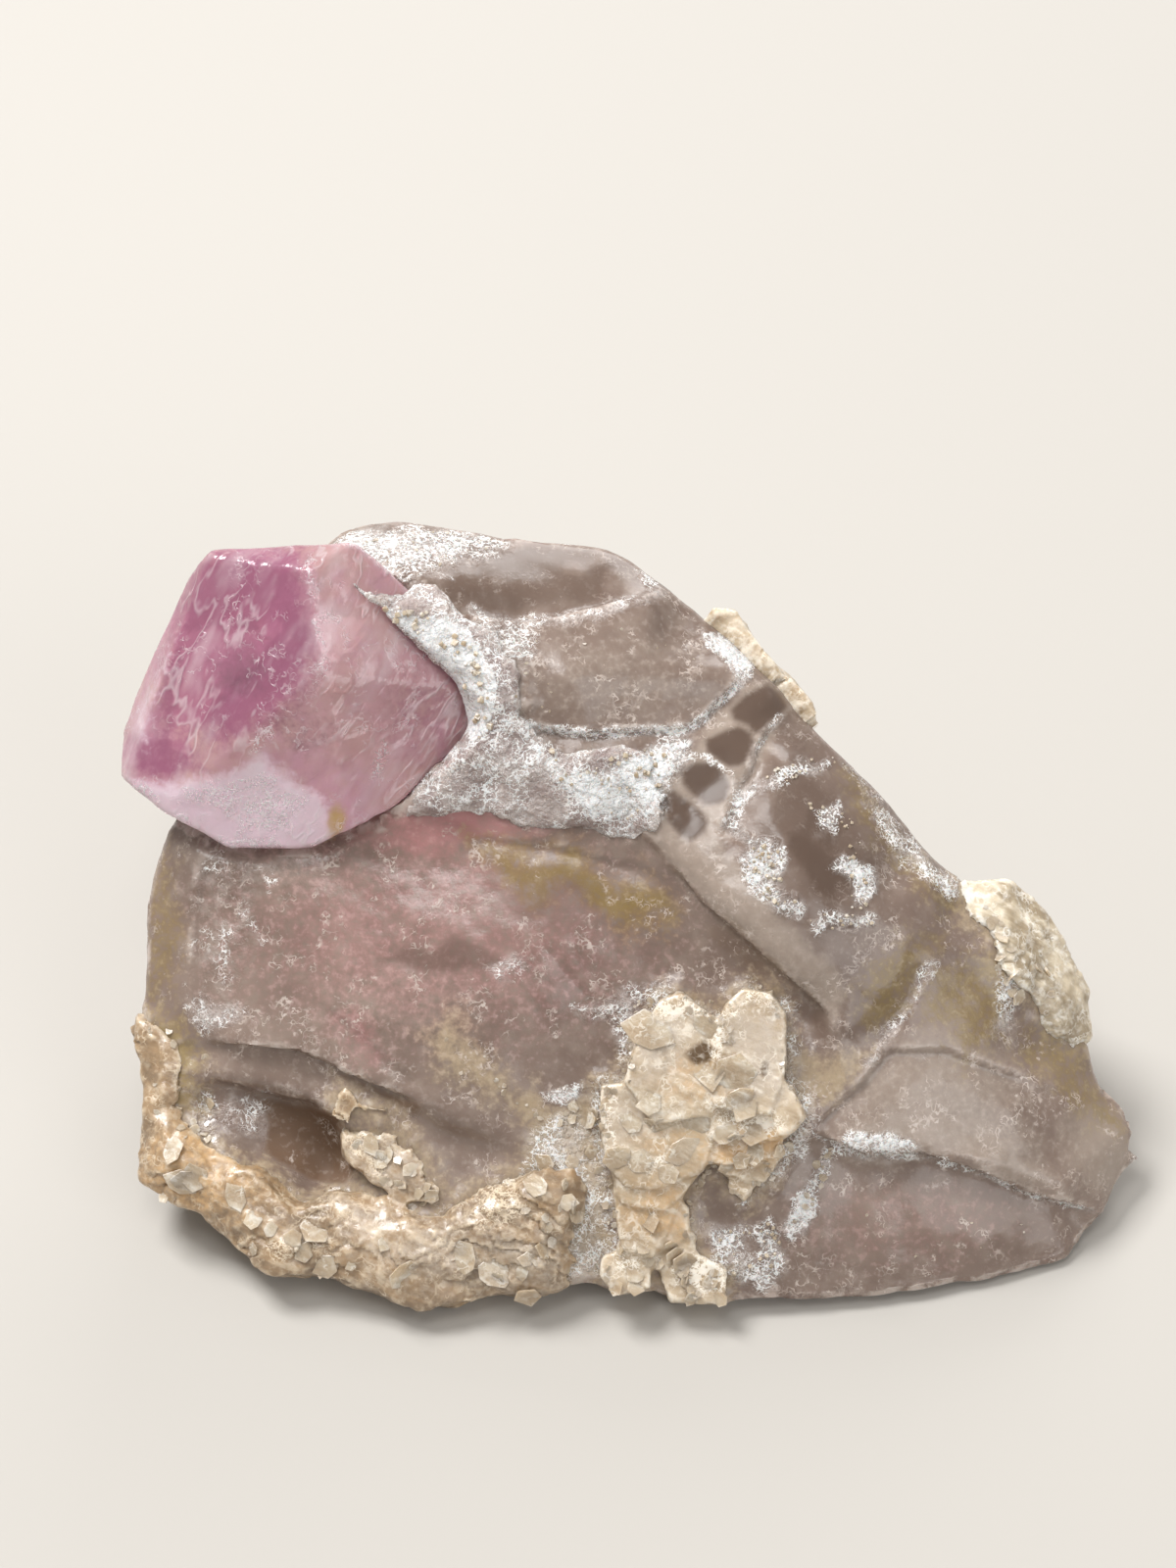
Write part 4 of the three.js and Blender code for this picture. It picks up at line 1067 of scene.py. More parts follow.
WHITE_AREAS: tuple[Oval | Patch, ...] = (
    Patch(
        "frost along the top",
        (
            (-17.0, 18.4), (-15.1, 19.8), (-12.7, 20.1), (-10.3, 19.9), (-8.4, 19.8), (-6.5, 19.4),
            (-7.1, 18.2), (-8.2, 17.8), (-9.1, 17.6), (-10.8, 17.2), (-12.0, 17.0), (-12.7, 16.1),
            (-14.6, 16.2), (-16.1, 17.3),
        ),
        0.62, 0.8, 0.8,
    ),
    Patch(
        "white wall beside the crystal",
        (
            (-14.6, 15.9), (-13.2, 15.5), (-11.4, 15.1), (-9.8, 15.1), (-9.0, 14.5), (-8.2, 13.5),
            (-7.4, 11.9), (-7.5, 10.1), (-7.9, 8.8), (-8.9, 8.6), (-9.3, 9.9), (-9.8, 11.3),
            (-10.3, 12.5), (-11.4, 13.7), (-13.0, 14.9), (-14.1, 15.5),
        ),
        1.0, 0.35, 0.4,
    ),
    Patch("fringe below the crystal", ((-12.0, 6.4), (-10.4, 7.8), (-8.6, 8.7)), 0.9, 0.4, 0.4, 0.7),
    Patch(
        "white band",
        (
            (-5.1, 8.2), (-3.7, 7.1), (-2.4, 7.2), (-1.2, 7.9), (0.0, 8.2), (0.9, 8.7), (2.1, 8.8),
            (2.3, 7.6), (1.2, 6.4), (0.9, 5.1), (-0.5, 4.6), (-2.8, 4.8), (-3.9, 5.8), (-4.9, 6.6),
        ),
        0.95, 0.6, 0.6,
    ),
    Patch(
        "thin frost between wall and band",
        (
            (-11.9, 6.3), (-10.3, 7.9), (-8.4, 8.4), (-7.1, 9.0), (-5.1, 9.0), (-3.7, 7.6),
            (-4.9, 6.0), (-6.7, 5.9), (-8.6, 5.9), (-10.8, 6.0),
        ),
        0.5, 0.6, 0.6,
    ),
    Patch(
        "white streak under the upper edge",
        (
            (3.2, 14.3), (4.0, 14.5), (4.7, 14.0), (5.5, 13.4), (5.9, 12.5), (5.6, 12.1),
            (4.7, 12.0), (4.2, 12.7), (3.5, 13.3),
        ),
        0.95, 0.3, 0.3,
    ),
    Patch(
        "line under the upper face",
        (
            (5.4, 12.2), (4.1, 10.9), (3.1, 9.9), (2.3, 9.4), (1.0, 9.25), (-0.8, 9.2),
            (-2.8, 9.0), (-4.6, 9.2), (-7.2, 9.7),
        ),
        0.8, 0.25, 0.25, 0.45,
    ),
    Patch(
        "fleck line on the upper face",
        ((-8.7, 15.4), (-6.4, 14.6), (-4.4, 14.75), (-2.0, 15.3), (0.9, 16.3)),
        0.6, 0.5, 0.5, 0.6,
    ),
    Oval("flecks beside the wall", -7.0, 14.0, 1.6, 1.0, 0.5, -20),
    Patch("upper right corner", ((-0.6, 17.6), (0.6, 17.4), (1.3, 16.5), (0.3, 16.5)), 0.75, 0.3, 0.4),
    Patch("fibres on the smoky top", ((-11.4, 15.9), (-9.0, 16.8), (-5.4, 17.0)), 0.2, 0.5, 0.9, 1.0),
    Patch(
        "rim right of the windows",
        ((7.1, 9.9), (6.4, 9.3), (5.9, 8.5), (5.5, 7.3), (4.9, 6.4), (4.5, 5.2), (4.0, 4.2)),
        0.55, 0.25, 0.2, 0.35,
    ),
    Patch("rim between the windows", ((3.1, 8.0), (4.6, 7.0), (4.6, 6.1)), 0.5, 0.2, 0.15, 0.3),
    Patch(
        "edge of the grey hollow",
        ((5.8, 6.5), (4.9, 5.8), (4.7, 4.4), (5.5, 3.5), (6.6, 3.5)),
        0.7, 0.3, 0.3, 0.5,
    ),
    Patch(
        "grains on the boss",
        ((4.9, 2.9), (6.0, 3.4), (7.2, 3.2), (7.1, 2.2), (6.6, 1.4), (5.8, 1.0), (5.1, 1.6)),
        0.75, 0.4, 0.6,
    ),
    Patch("grains across the boss", ((6.4, 6.6), (7.9, 7.3), (9.4, 7.6)), 0.55, 0.4, 0.5, 0.6),
    Patch(
        "grains right of the boss",
        ((8.8, 4.9), (9.9, 5.8), (10.3, 5.0), (9.8, 3.6), (9.0, 4.1)),
        0.5, 0.4, 0.6,
    ),
    Patch("bright grains low on the boss", ((6.3, 1.2), (7.0, 0.4), (7.9, 0.2)), 0.65, 0.4, 0.5, 0.9),
    Patch("grains under the boss", ((8.9, -0.6), (10.0, -0.4), (11.4, -0.5)), 0.55, 0.4, 0.5, 0.8),
    Patch("bright grains right", ((10.1, 2.6), (11.1, 1.9), (11.2, 0.9)), 0.7, 0.35, 0.4, 0.9),
    Patch(
        "fibres on the left",
        (
            (-23.5, 2.5), (-21.5, 3.8), (-18.9, 2.5), (-20.0, 0.6), (-18.9, -0.4), (-19.2, -3.0),
            (-21.3, -4.1), (-23.1, -4.6), (-23.5, -2.0),
        ),
        0.26, 1.0, 1.2,
    ),
    Oval("pale spot on the left", -21.9, -5.0, 1.5, 1.0, 0.5),
    Patch(
        "grains above the hollow",
        ((-23.2, -9.0), (-21.8, -8.8), (-21.2, -10.2), (-22.0, -11.6), (-23.2, -11.2)),
        0.45, 0.6, 0.8,
    ),
    Oval("fibres beside the hollow", -20.6, -10.4, 1.3, 1.4, 0.3),
    Oval("white spots on the middle face", -6.6, -2.8, 1.5, 0.8, 0.36),
    Oval("grains above the rosette", -1.0, -4.6, 1.9, 0.6, 0.5, 12),
    Oval("white flake left of the rosette", -4.2, -9.2, 0.9, 0.6, 0.7),
    Patch(
        "white streak on the right",
        (
            (10.0, -11.9), (11.2, -12.3), (12.6, -12.6), (14.2, -12.3), (13.8, -11.6),
            (12.6, -11.2), (10.8, -11.4),
        ),
        0.75, 0.4, 0.4,
    ),
    # painted highlight: a thin white line along the edge above the lower face
    Patch(
        "line above the lower face",
        ((8.5, -11.3), (11.3, -12.6), (14.3, -12.5), (16.9, -13.3), (20.0, -14.6), (23.3, -15.4)),
        0.7, 0.16, 0.1, 0.2,
    ),
    Patch("trail on the lower face", ((9.4, -12.3), (9.1, -13.4), (8.6, -14.4)), 0.6, 0.35, 0.35, 0.7),
    Patch("foot of the trail", ((8.4, -14.8), (7.9, -16.1)), 0.85, 0.35, 0.3, 1.1),
    Patch(
        "grains beside the rosette",
        ((3.2, -16.0), (5.6, -15.8), (5.6, -18.6), (4.2, -18.8), (3.3, -17.5)),
        0.55, 0.5, 0.8,
    ),
    Patch("grains below the trail", ((6.4, -16.6), (6.9, -17.8), (6.0, -18.6)), 0.55, 0.5, 0.6, 1.4),
    Patch("fibres above the boss", ((10.9, 8.0), (12.4, 5.4), (13.6, 3.2), (15.6, 1.4)), 0.45, 0.5, 0.6, 1.8),
    Patch(
        "rim of the rosette",
        (
            (3.9, -5.4), (0.8, -4.3), (-1.0, -5.6), (-1.0, -8.4), (-2.4, -9.2), (-2.2, -12.8),
            (-1.7, -16.6), (-2.4, -18.6),
        ),
        0.42, 0.5, 0.6, 1.3,
    ),
    Patch(
        "rim right of the rosette",
        ((5.2, -3.6), (7.3, -4.8), (7.5, -8.6), (8.5, -10.5), (7.4, -12.6), (5.2, -14.8)),
        0.4, 0.5, 0.6, 1.1,
    ),
    Patch(
        "pale haze left of the rosette's foot",
        ((-6.0, -11.4), (-3.6, -9.6), (-2.2, -12.0), (-1.8, -18.4), (-4.4, -19.4), (-6.6, -17.6)),
        0.5, 0.7, 0.8,
    ),
    Patch("ridge on the right", ((14.8, -2.6), (13.6, -5.0), (11.6, -7.5)), 0.5, 0.4, 0.4, 0.6),
    Oval("white patch at the right edge", 18.4, -5.2, 1.0, 1.6, 0.5),
)

QUARTZ_AREAS: Areas = {
    Mask.FROST: WHITE_AREAS,
    Mask.STAIN: (
        Patch(
            "yellow band",
            (
                (-9.0, 3.7), (-4.3, 3.0), (-0.1, 1.9), (1.3, 0.3), (1.8, -0.8), (-0.3, -1.0),
                (-4.3, 0.6), (-8.5, 2.7),
            ),
            0.85, 1.1, 1.5,
        ),
        Patch(
            "olive face",
            ((10.8, -5.1), (11.3, -2.6), (13.1, -1.1), (15.4, -0.8), (14.8, -2.6), (13.5, -5.1), (11.6, -6.3)),
            0.62, 0.8, 0.8,
        ),
        Patch(
            "olive face on the right",
            (
                (14.2, -5.7), (14.8, -3.7), (16.0, -2.3), (17.8, -2.9), (18.7, -5.1),
                (18.4, -7.2), (16.6, -7.5), (14.8, -6.4),
            ),
            0.62, 0.9, 1.4,
        ),
        Patch(
            "brown right edge",
            ((19.7, -6.0), (22.4, -6.9), (24.6, -9.7), (25.3, -11.5), (23.0, -11.0), (20.7, -9.0), (18.7, -7.5)),
            0.55, 0.8, 0.8,
        ),
        Patch("edge above the boss", ((10.8, 6.6), (13.0, 3.0), (15.6, 0.8)), 0.5, 0.6, 0.8, 1.8),
        Oval("left edge", -24.8, -1.5, 0.9, 5.5, 0.5),
        Patch(
            "yellow left corner",
            ((-25.4, -5.5), (-23.6, -5.3), (-22.6, -7.5), (-22.8, -10.5), (-24.2, -11.0), (-25.4, -9.5)),
            0.6, 0.7, 0.7,
        ),
        Oval("stain at the crystal's foot", -15.7, 4.3, 0.5, 0.6, 0.9),
    ),
    # Painted shade in the hollow and under the shelf that overhangs it.
    Mask.BROWN: (
        Patch(
            "floor of the hollow",
            (
                (-20.3, -9.4), (-19.1, -9.5), (-17.3, -10.0), (-15.5, -10.4), (-15.3, -11.2), (-14.6, -13.1),
                (-15.2, -13.9), (-16.9, -13.7), (-18.4, -12.8), (-19.3, -12.2), (-19.1, -10.6), (-19.6, -9.8),
            ),
            1.0, 0.16, 0.08,
        ),
        Patch(
            "shadowed strip over the hollow",
            (
                (-17.6, -7.3), (-15.4, -8.2), (-13.0, -9.3), (-11.3, -9.8), (-11.6, -10.4),
                (-12.9, -9.8), (-14.8, -8.8), (-16.6, -7.7),
            ),
            0.75, 0.2, 0.12,
        ),
    ),
    Mask.DARK: WINDOWS
    + (
        Patch(
            "smooth lens on the middle face",
            (
                (-13.4, -2.5), (-12.1, -1.7), (-10.6, -2.0), (-9.8, -0.9), (-7.9, -1.7),
                (-6.9, -2.5), (-7.9, -3.0), (-10.0, -3.2), (-12.1, -3.0),
            ),
            0.55, 0.3, 0.3,
        ),
        Patch(
            "smoky top of the upper face",
            (
                (-12.0, 16.9), (-10.3, 17.0), (-8.4, 17.6), (-7.1, 18.5), (-6.3, 19.0), (-2.7, 18.6),
                (-1.1, 17.8), (-0.3, 16.9), (-1.7, 16.1), (-4.4, 15.3), (-6.3, 14.9), (-8.4, 15.1),
                (-9.8, 15.3), (-12.2, 15.4),
            ),
            0.62, 0.6, 1.6,
        ),
        Oval("shade under the band", -5.2, 0.2, 3.2, 1.9, 0.4),
        Patch(
            "face of the boss",
            ((5.4, 6.8), (8.2, 10.0), (10.6, 6.4), (12.4, 3.0), (11.4, 0.0), (9.2, -2.0), (7.2, 0.0), (5.4, 3.4)),
            0.6, 1.6,
        ),
        Patch(
            "heart of the boss",
            ((7.0, 4.6), (8.6, 5.2), (10.4, 4.0), (11.2, 2.2), (10.2, 0.4), (8.4, 0.4), (7.2, 2.4)),
            1.0, 1.0, 1.2,
        ),
        Patch(
            "dark lens beside the rosette",
            ((7.3, -4.3), (8.2, -4.6), (9.3, -5.3), (9.7, -6.0), (9.0, -6.1), (7.8, -5.6)),
            0.5, 0.3, 0.2,
        ),
        Patch("brown fleck", ((-4.9, 4.6), (-4.0, 4.9), (-2.6, 4.5), (-4.0, 4.0)), 0.7, 0.25, 0.2),
        Patch("crack", ((-4.0, -2.8), (-2.7, -4.3), (-0.9, -6.2)), 0.45, 0.16, 0.1, 0.12),
        Oval("smoke beside the rosette", 4.4, -15.4, 1.6, 1.2, 0.35),
    ),
    Mask.PINK: (
        Patch(
            "pink shard under the crystal",
            ((-11.6, 5.8), (-8.6, 5.4), (-8.3, 4.3), (-8.6, 4.1), (-11.4, 4.8)),
            1.0, 0.3, 0.3,
        ),
        Patch(
            "pink haze over the hollow",
            ((-16.6, -4.4), (-14.2, -4.4), (-13.0, -6.5), (-13.1, -7.9), (-15.0, -7.6), (-16.3, -6.0)),
            0.5, 1.2, 0.9,
        ),
        Oval("middle face", -10.3, -1.0, 10.5, 5.5, 0.4),
        Oval("strip under the crystal", -9.8, 4.3, 4.8, 1.2, 0.7),
        Oval("lower face", 13.5, -16.0, 6.0, 2.5, 0.22),
    ),
    Mask.HAZE: (
        Patch(
            "haze around the windows",
            (
                (-0.8, 4.2), (0.3, 4.0), (1.4, 2.4), (2.8, 0.5), (5.2, -1.6), (7.6, -3.6), (9.8, -5.6),
                (10.6, -4.2), (9.0, -2.0), (6.8, 0.4), (4.9, 2.6), (4.2, 3.8), (4.7, 5.6), (5.8, 6.9),
                (7.1, 9.9), (7.7, 10.2), (6.5, 11.9), (5.5, 11.9), (4.6, 10.9), (3.0, 9.2), (2.2, 7.7),
                (1.0, 6.5), (-0.8, 4.7),
            ),
            0.8, 0.4, 0.4,
        ),
        Patch(
            "pale face on the right",
            (
                (9.5, -11.0), (12.0, -10.0), (14.5, -9.2), (18.0, -9.6), (20.5, -12.0), (21.8, -14.8),
                (20.0, -14.5), (16.9, -13.2), (14.3, -12.4), (11.3, -12.5),
            ),
            0.75, 1.0, 0.8,
        ),
        Oval("haze below the ridge", 16.0, -7.8, 2.4, 0.8, 0.6),
        Oval("middle of the middle face", -12.4, -4.2, 4.4, 2.2, 0.45),
        Oval("slope beside the rosette", 14.6, -9.0, 5.0, 2.4, 0.7),
        Oval("pointed end", 24.2, -12.0, 2.4, 2.4, 0.9),
        Oval("lower part of the upper face", -1.4, 12.0, 5.5, 2.2, 0.4),
        Oval("pale rim of the middle face", -20.0, 2.6, 4.0, 1.0, 0.5, -8),
    ),
    Mask.CREAM: (
        Patch(
            "cream haze right of the hollow",
            ((-11.1, -5.9), (-9.5, -4.6), (-6.9, -8.8), (-5.8, -10.3), (-7.9, -9.8), (-10.5, -8.5)),
            0.72, 0.8, 0.8,
        ),
        Patch(
            "cream haze left of the rosette",
            ((-7.1, -9.6), (-5.6, -8.5), (-4.3, -10.9), (-3.7, -12.4), (-5.6, -12.4)),
            0.9, 0.6, 0.7,
        ),
        Patch(
            "mica left of the rosette's foot",
            ((-6.0, -11.4), (-3.6, -9.6), (-2.0, -10.0), (-1.6, -18.8), (-4.4, -19.4), (-6.6, -17.6)),
            0.95, 0.6, 0.7,
        ),
        Patch(
            "cream haze right of the rosette",
            ((7.2, -7.2), (9.6, -7.4), (11.4, -7.0), (10.6, -8.8), (9.0, -9.8), (7.6, -10.0)),
            0.8, 0.6, 0.7,
        ),
        Oval("left corner", -23.6, -10.0, 1.6, 3.4, 0.6),
    ),
}


STEPS: tuple[Step, ...] = (
    Step(
        "foot of the upper face",
        (
            (-7.2, 9.7), (-4.6, 9.2), (-2.8, 9.0), (-0.8, 9.2), (1.0, 9.25), (2.3, 9.4),
            (3.1, 9.9), (4.1, 10.9), (5.4, 12.2),
        ),
        0.38, 1.8,
    ),
    Step(
        "smoky top of the upper face",
        ((1.0, 16.5), (-1.7, 15.9), (-4.4, 15.2), (-6.3, 14.9), (-8.4, 15.1), (-12.2, 15.4)),
        0.5, 3.0,
    ),
    Step(
        "edge above the lower face",
        ((8.5, -11.3), (11.3, -12.6), (14.3, -12.5), (16.9, -13.3), (20.0, -14.6), (23.3, -15.4)),
        0.65, 4.0,
    ),
    Step(
        "rim right of the windows",
        ((5.5, 3.3), (4.0, 4.2), (4.5, 5.2), (4.9, 6.4), (5.5, 7.3), (5.9, 8.5), (6.4, 9.3), (7.1, 9.9)),
        0.4, 1.8,
    ),
    Step(
        "ridge beside the middle face",
        ((1.2, 2.6), (2.8, 0.5), (5.2, -1.6), (7.6, -3.7), (9.8, -5.6)),
        0.45, 2.2,
    ),
    Step(
        "shelf over the hollow",
        ((-22.6, -6.7), (-17.6, -7.2), (-15.4, -8.2), (-13.0, -9.3), (-11.3, -9.8)),
        0.55, 1.3,
    ),
    Step("second shelf over the hollow", ((-22.5, -8.5), (-19.3, -9.4), (-16.0, -10.1)), 0.5, 1.3),
    Step("edge of the pink haze", ((-16.7, -4.3), (-14.5, -6.2), (-11.2, -9.1)), 0.22, 1.2),
    Step("edge in the left corner", ((-22.7, -11.2), (-22.7, -8.7)), 0.3, 1.2),
    Step("edge above the stain", ((-9.0, 3.9), (-4.3, 3.3), (-0.1, 2.2), (1.3, 1.2)), 0.22, 1.3),
    Step("edge on the right slope", ((8.5, -11.2), (11.3, -8.7), (12.6, -7.1), (15.4, -7.1), (20.0, -8.7)), 0.3, 2.0),
    Step("olive ridge", ((14.8, -2.3), (13.6, -5.0), (11.6, -7.5)), 0.25, 1.8),
    Step("crack", ((-5.0, -1.4), (-4.0, -2.8), (-2.7, -4.3), (-0.9, -6.2)), 0.16, 0.8),
    Step("rim of the left side", ((-23.0, -3.5), (-22.9, 0.0), (-22.4, 2.8)), 0.3, 1.6),
)


@dataclass
class QuartzMatrix:
    """The quartz fragment."""

    face_size: float = 0.25
    areas: Areas = field(default_factory=lambda: QUARTZ_AREAS)
    steps: tuple[Step, ...] = STEPS
    cream_beside: tuple[str, ...] = ("mica_ledge", "mica_rosette", "edge_mica")
    rise: float = 0.45
    rise_reach: float = 1.5
    front_blur: int = 12
    back_patches: tuple[tuple[Mask, float], ...] = (
        (Mask.FROST, 5.0), (Mask.STAIN, 25.0), (Mask.HAZE, 45.0), (Mask.PINK, 65.0),
    )

    def rise_to_crusts(self, s: Sculpt) -> None:
        """Lifts the quartz gently towards what grew on it, so that no crust stands on a flat floor.

        Args:
            s: the quartz.
        """
        for name in (*self.cream_beside, "albite_rim"):
            distance, _ = s.away_from(Sculpt(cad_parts[name]).tree(), self.rise_reach)
            near = 1 - distance / self.rise_reach
            uneven = 0.75 + 0.5 * wander(s.points(), 1.2, 2, 63.0)
            s.raise_by(np.where(s.points()[:, 2] > MM, self.rise * near**2 * uneven, 0))

    def build(self, crystal: BVHTree) -> Sculpt:
        """Models the quartz.

        Args:
            crystal: the crystal's tree, whose socket it closes on.

        Returns:
            The quartz, painted.
        """
        s = Sculpt.copy_of("quartz_matrix", "quartz")
        s.remesh(self.face_size)
        s.relax(10, 0.06)
        seen = FACE.seen(s.points())[:, :2]
        front = s.facing(0.05, 0.3, self.front_blur)
        shoulder = WINDOWED_SHOULDER.cover(seen, np.zeros_like(seen)) * front
        s.relax(26, 2.0, shoulder[:, None])
        at = s.points()
        standing = np.clip(at[:, 2] / (0.6 * MM), 0, 1)
        s.raise_by(standing * (0.08 * wander(at, 3.2, 3, 3.0) + 0.015 * wander(at, 0.8, 2, 9.0)))
        seen = FACE.seen(s.points())
        fall = sum(step.fall(seen[:, :2]) for step in self.steps)
        s.raise_by(-fall * standing * front)
        self.rise_to_crusts(s)
        s.reach_to(crystal, 0.6, -0.04)
        masks = s.paint(self.areas, front=front)
        for mask, seed in self.back_patches:
            patches = np.clip(1.1 * wander(s.points(), 9.0, 4, seed) - 0.1, 0, 0.45)
            masks[mask] = np.maximum(masks[mask], (1 - front) * patches)
            s.keep(mask.value, masks[mask])
        for name in self.cream_beside:
            beside = Sculpt(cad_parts[name]).tree()
            distance, _ = s.away_from(beside, 2.0)
            halo = 0.7 - distance / 1.8 + 0.3 * wander(s.points(), 1.6, 3, 71.0)
            masks[Mask.CREAM] = np.maximum(masks[Mask.CREAM], np.clip(halo, 0, 0.6))
        s.keep(Mask.CREAM.value, masks[Mask.CREAM])
        ridge = s.ridges(self.face_size)
        s.keep("ridge", ridge)
        at = s.points()
        frosted = masks[Mask.FROST] * grains(at, 0.7, 4.0)
        chipped = ridge * np.minimum(wander(at, 1.0, 2, 31.0), 0)
        smooth = 1 - np.clip(masks[Mask.DARK] * 1.6, 0, 1)
        s.raise_by(standing * smooth * (0.07 * frosted + 0.12 * chipped))
        s.shade(50)
        return s


@dataclass
class TourmalineCrystal:
    """The pink crystal."""

    face_size: float = 0.17
    areas: Areas = field(
        default_factory=lambda: {
            Mask.PINK: (
                Patch(
                    "deep pink face",
                    (
                        (-22.1, 18.6), (-17.6, 18.6), (-17.0, 16.5), (-16.5, 13.8), (-17.0, 11.9),
                        (-18.9, 9.4), (-21.4, 8.9), (-24.4, 8.9), (-25.0, 11.2), (-24.6, 14.2), (-23.4, 17.4),
                    ),
                    1.0, 1.2, 0.5,
                ),
                Patch(
                    "pink left corner",
                    ((-26.4, 9.3), (-23.0, 9.2), (-22.6, 7.2), (-24.5, 6.4), (-26.2, 7.0)),
                    0.8, 0.6, 0.6,
                ),
                Oval("pink right corner", -10.8, 10.2, 2.4, 2.6, 0.42),
            ),
            Mask.DARK: (
                Patch(
                    "grey cloud",
                    (
                        (-22.1, 12.7), (-20.5, 13.8), (-19.5, 13.2), (-19.2, 12.2), (-20.0, 11.1),
                        (-21.3, 10.9), (-22.1, 11.5),
                    ),
                    0.7, 0.8, 0.6,
                ),
                Oval("inclusion", -17.0, 9.2, 1.5, 1.2, 0.4),
                # painted shadow in the slit between the crystal's lower edge and the quartz
                Patch("foot seam", ((-20.6, 3.3), (-18.2, 3.2)), 0.7, 0.15, 0.1, 0.15),
            ),
            Mask.HAZE: (
                Patch(
                    "pale lower face",
                    (
                        (-26.2, 6.5), (-23.9, 6.3), (-21.0, 7.3), (-19.4, 7.7), (-17.4, 6.4), (-16.1, 5.4),
                        (-15.8, 3.4), (-18.2, 2.6), (-20.8, 2.6), (-23.0, 4.0), (-25.4, 5.4),
                    ),
                    1.0, 0.5, 0.5,
                ),
                Patch(
                    "pale left strip",
                    ((-24.0, 14.0), (-25.2, 11.6), (-26.2, 9.6), (-25.3, 8.0), (-24.7, 11.1), (-23.9, 13.5)),
                    0.42, 0.5, 0.3,
                ),
            ),
            Mask.STAIN: (Oval("peach right face", -13.8, 11.5, 4.5, 5.5, 0.7),),
            Mask.CREAM: (Oval("stain at the foot", -15.8, 4.6, 0.5, 0.8, 0.9),),
            Mask.FROST: (
                Patch(
                    "fringe of the deep face",
                    ((-17.0, 17.9), (-16.6, 15.6), (-16.2, 13.7), (-16.8, 11.5), (-18.4, 9.8), (-19.8, 8.4)),
                    0.5, 0.5, 0.6, 0.7,
                ),
                Patch("veil on the right face", ((-16.4, 15.4), (-15.3, 14.4), (-15.0, 13.2)), 0.5, 0.5, 0.5, 0.8),
                Patch(
                    "streaks on the pale face",
                    ((-23.6, 6.0), (-20.6, 7.2), (-18.6, 7.2), (-17.0, 6.2), (-17.0, 4.2), (-20.6, 3.6)),
                    0.4, 0.6, 0.8,
                ),
                Patch("low edge", ((-25.8, 6.2), (-23.4, 4.8), (-21.0, 3.4), (-18.0, 3.2)), 0.45, 0.3, 0.4, 0.6),
                Patch("right veil", ((-13.4, 9.8), (-13.0, 8.2), (-13.9, 6.6)), 0.42, 0.4, 0.5, 0.6),
            ),
        }
    )

    def build(self) -> Sculpt:
        """Models the crystal.

        Returns:
            The crystal, painted.
        """
        s = Sculpt.copy_of("tourmaline_crystal", "tourmaline")
        s.remesh(self.face_size)
        s.relax(5, 0.12)
        at = s.points()
        s.raise_by(0.07 * wander(at, 2.6, 3, 5.0) + 0.035 * grains(at, 1.3, 21.0))
        s.paint(self.areas, 0.6, s.facing())
        s.keep("ridge", s.ridges(self.face_size))
        s.shade(40)
        return s


@dataclass
class Crust:
    """A crust that grew on the quartz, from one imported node."""

    node: str
    name: str
    slot: str
    face_size: float = 0.15
    lumps: float = 0.18
    grain_size: float = 1.4
    grain_height: float = 0.07
    layer: float = 1.1
    layer_depth: float = 0.2
    layers_face: tuple[float, float, float] = (0.35, 0.85, 0.4)
    areas: Areas = field(default_factory=dict)

    def build(self, quartz: BVHTree) -> Sculpt:
        """Models the crust and lets it down onto the quartz.

        Args:
            quartz: the quartz's tree.

        Returns:
            The crust, painted.
        """
        s = Sculpt.copy_of(self.node, self.name)
        s.remesh(self.face_size)
        s.relax(3, 0.3)
        at = s.points()
        across = np.array(self.layers_face) @ FACE.axes()
        across /= np.linalg.norm(across)
        level = at @ across / (MM * self.layer) + 2.2 * wander(at, 3.6, 4, 17.0)
        groove = (level - np.floor(level)) ** 2
        edge_on = 1 - np.abs(s.normals() @ across) ** 2
        open_here = np.clip(0.5 + 1.6 * wander(at, 2.4, 2, 53.0), 0, 1)
        relief = self.lumps * wander(at, 1.6, 3, 2.0) + self.grain_height * grains(at, self.grain_size, 6.0)
        s.raise_by(relief - self.layer_depth * groove * edge_on * open_here)
        s.reach_to(quartz, 0.75, 0.15)
        s.paint(self.areas, 0.4, s.facing())
        s.keep("ridge", s.ridges(self.face_size))
        s.shade(55)
        return s


@dataclass(frozen=True)
class Sprinkle:
    """Where small flakes or grains lie: inside an outline in mm, or along a line that has a width."""

    name: str
    outline: Path
    count: int
    smallest: float
    largest: float
    width: float = 0.0
    tilt: float = 25.0
    flat: bool = True

    def places(self, rng: np.random.Generator) -> np.ndarray:
        """Picks places at random.

        Args:
            rng: the source of chance.

        Returns:
            Rows of across and up.
        """
        path = np.array(self.outline)
        low, high = path.min(0) - self.width / 2, path.max(0) + self.width / 2
        chosen = np.empty((0, 2))
        while len(chosen) < self.count:
            tries = rng.uniform(low, high, (self.count * 4, 2))
            if self.width:
                fits = away_from_path(path, tries, False) < self.width / 2
            else:
                fits = inside_path(path, tries)
            chosen = np.vstack([chosen, tries[fits]])
        return chosen[: self.count]


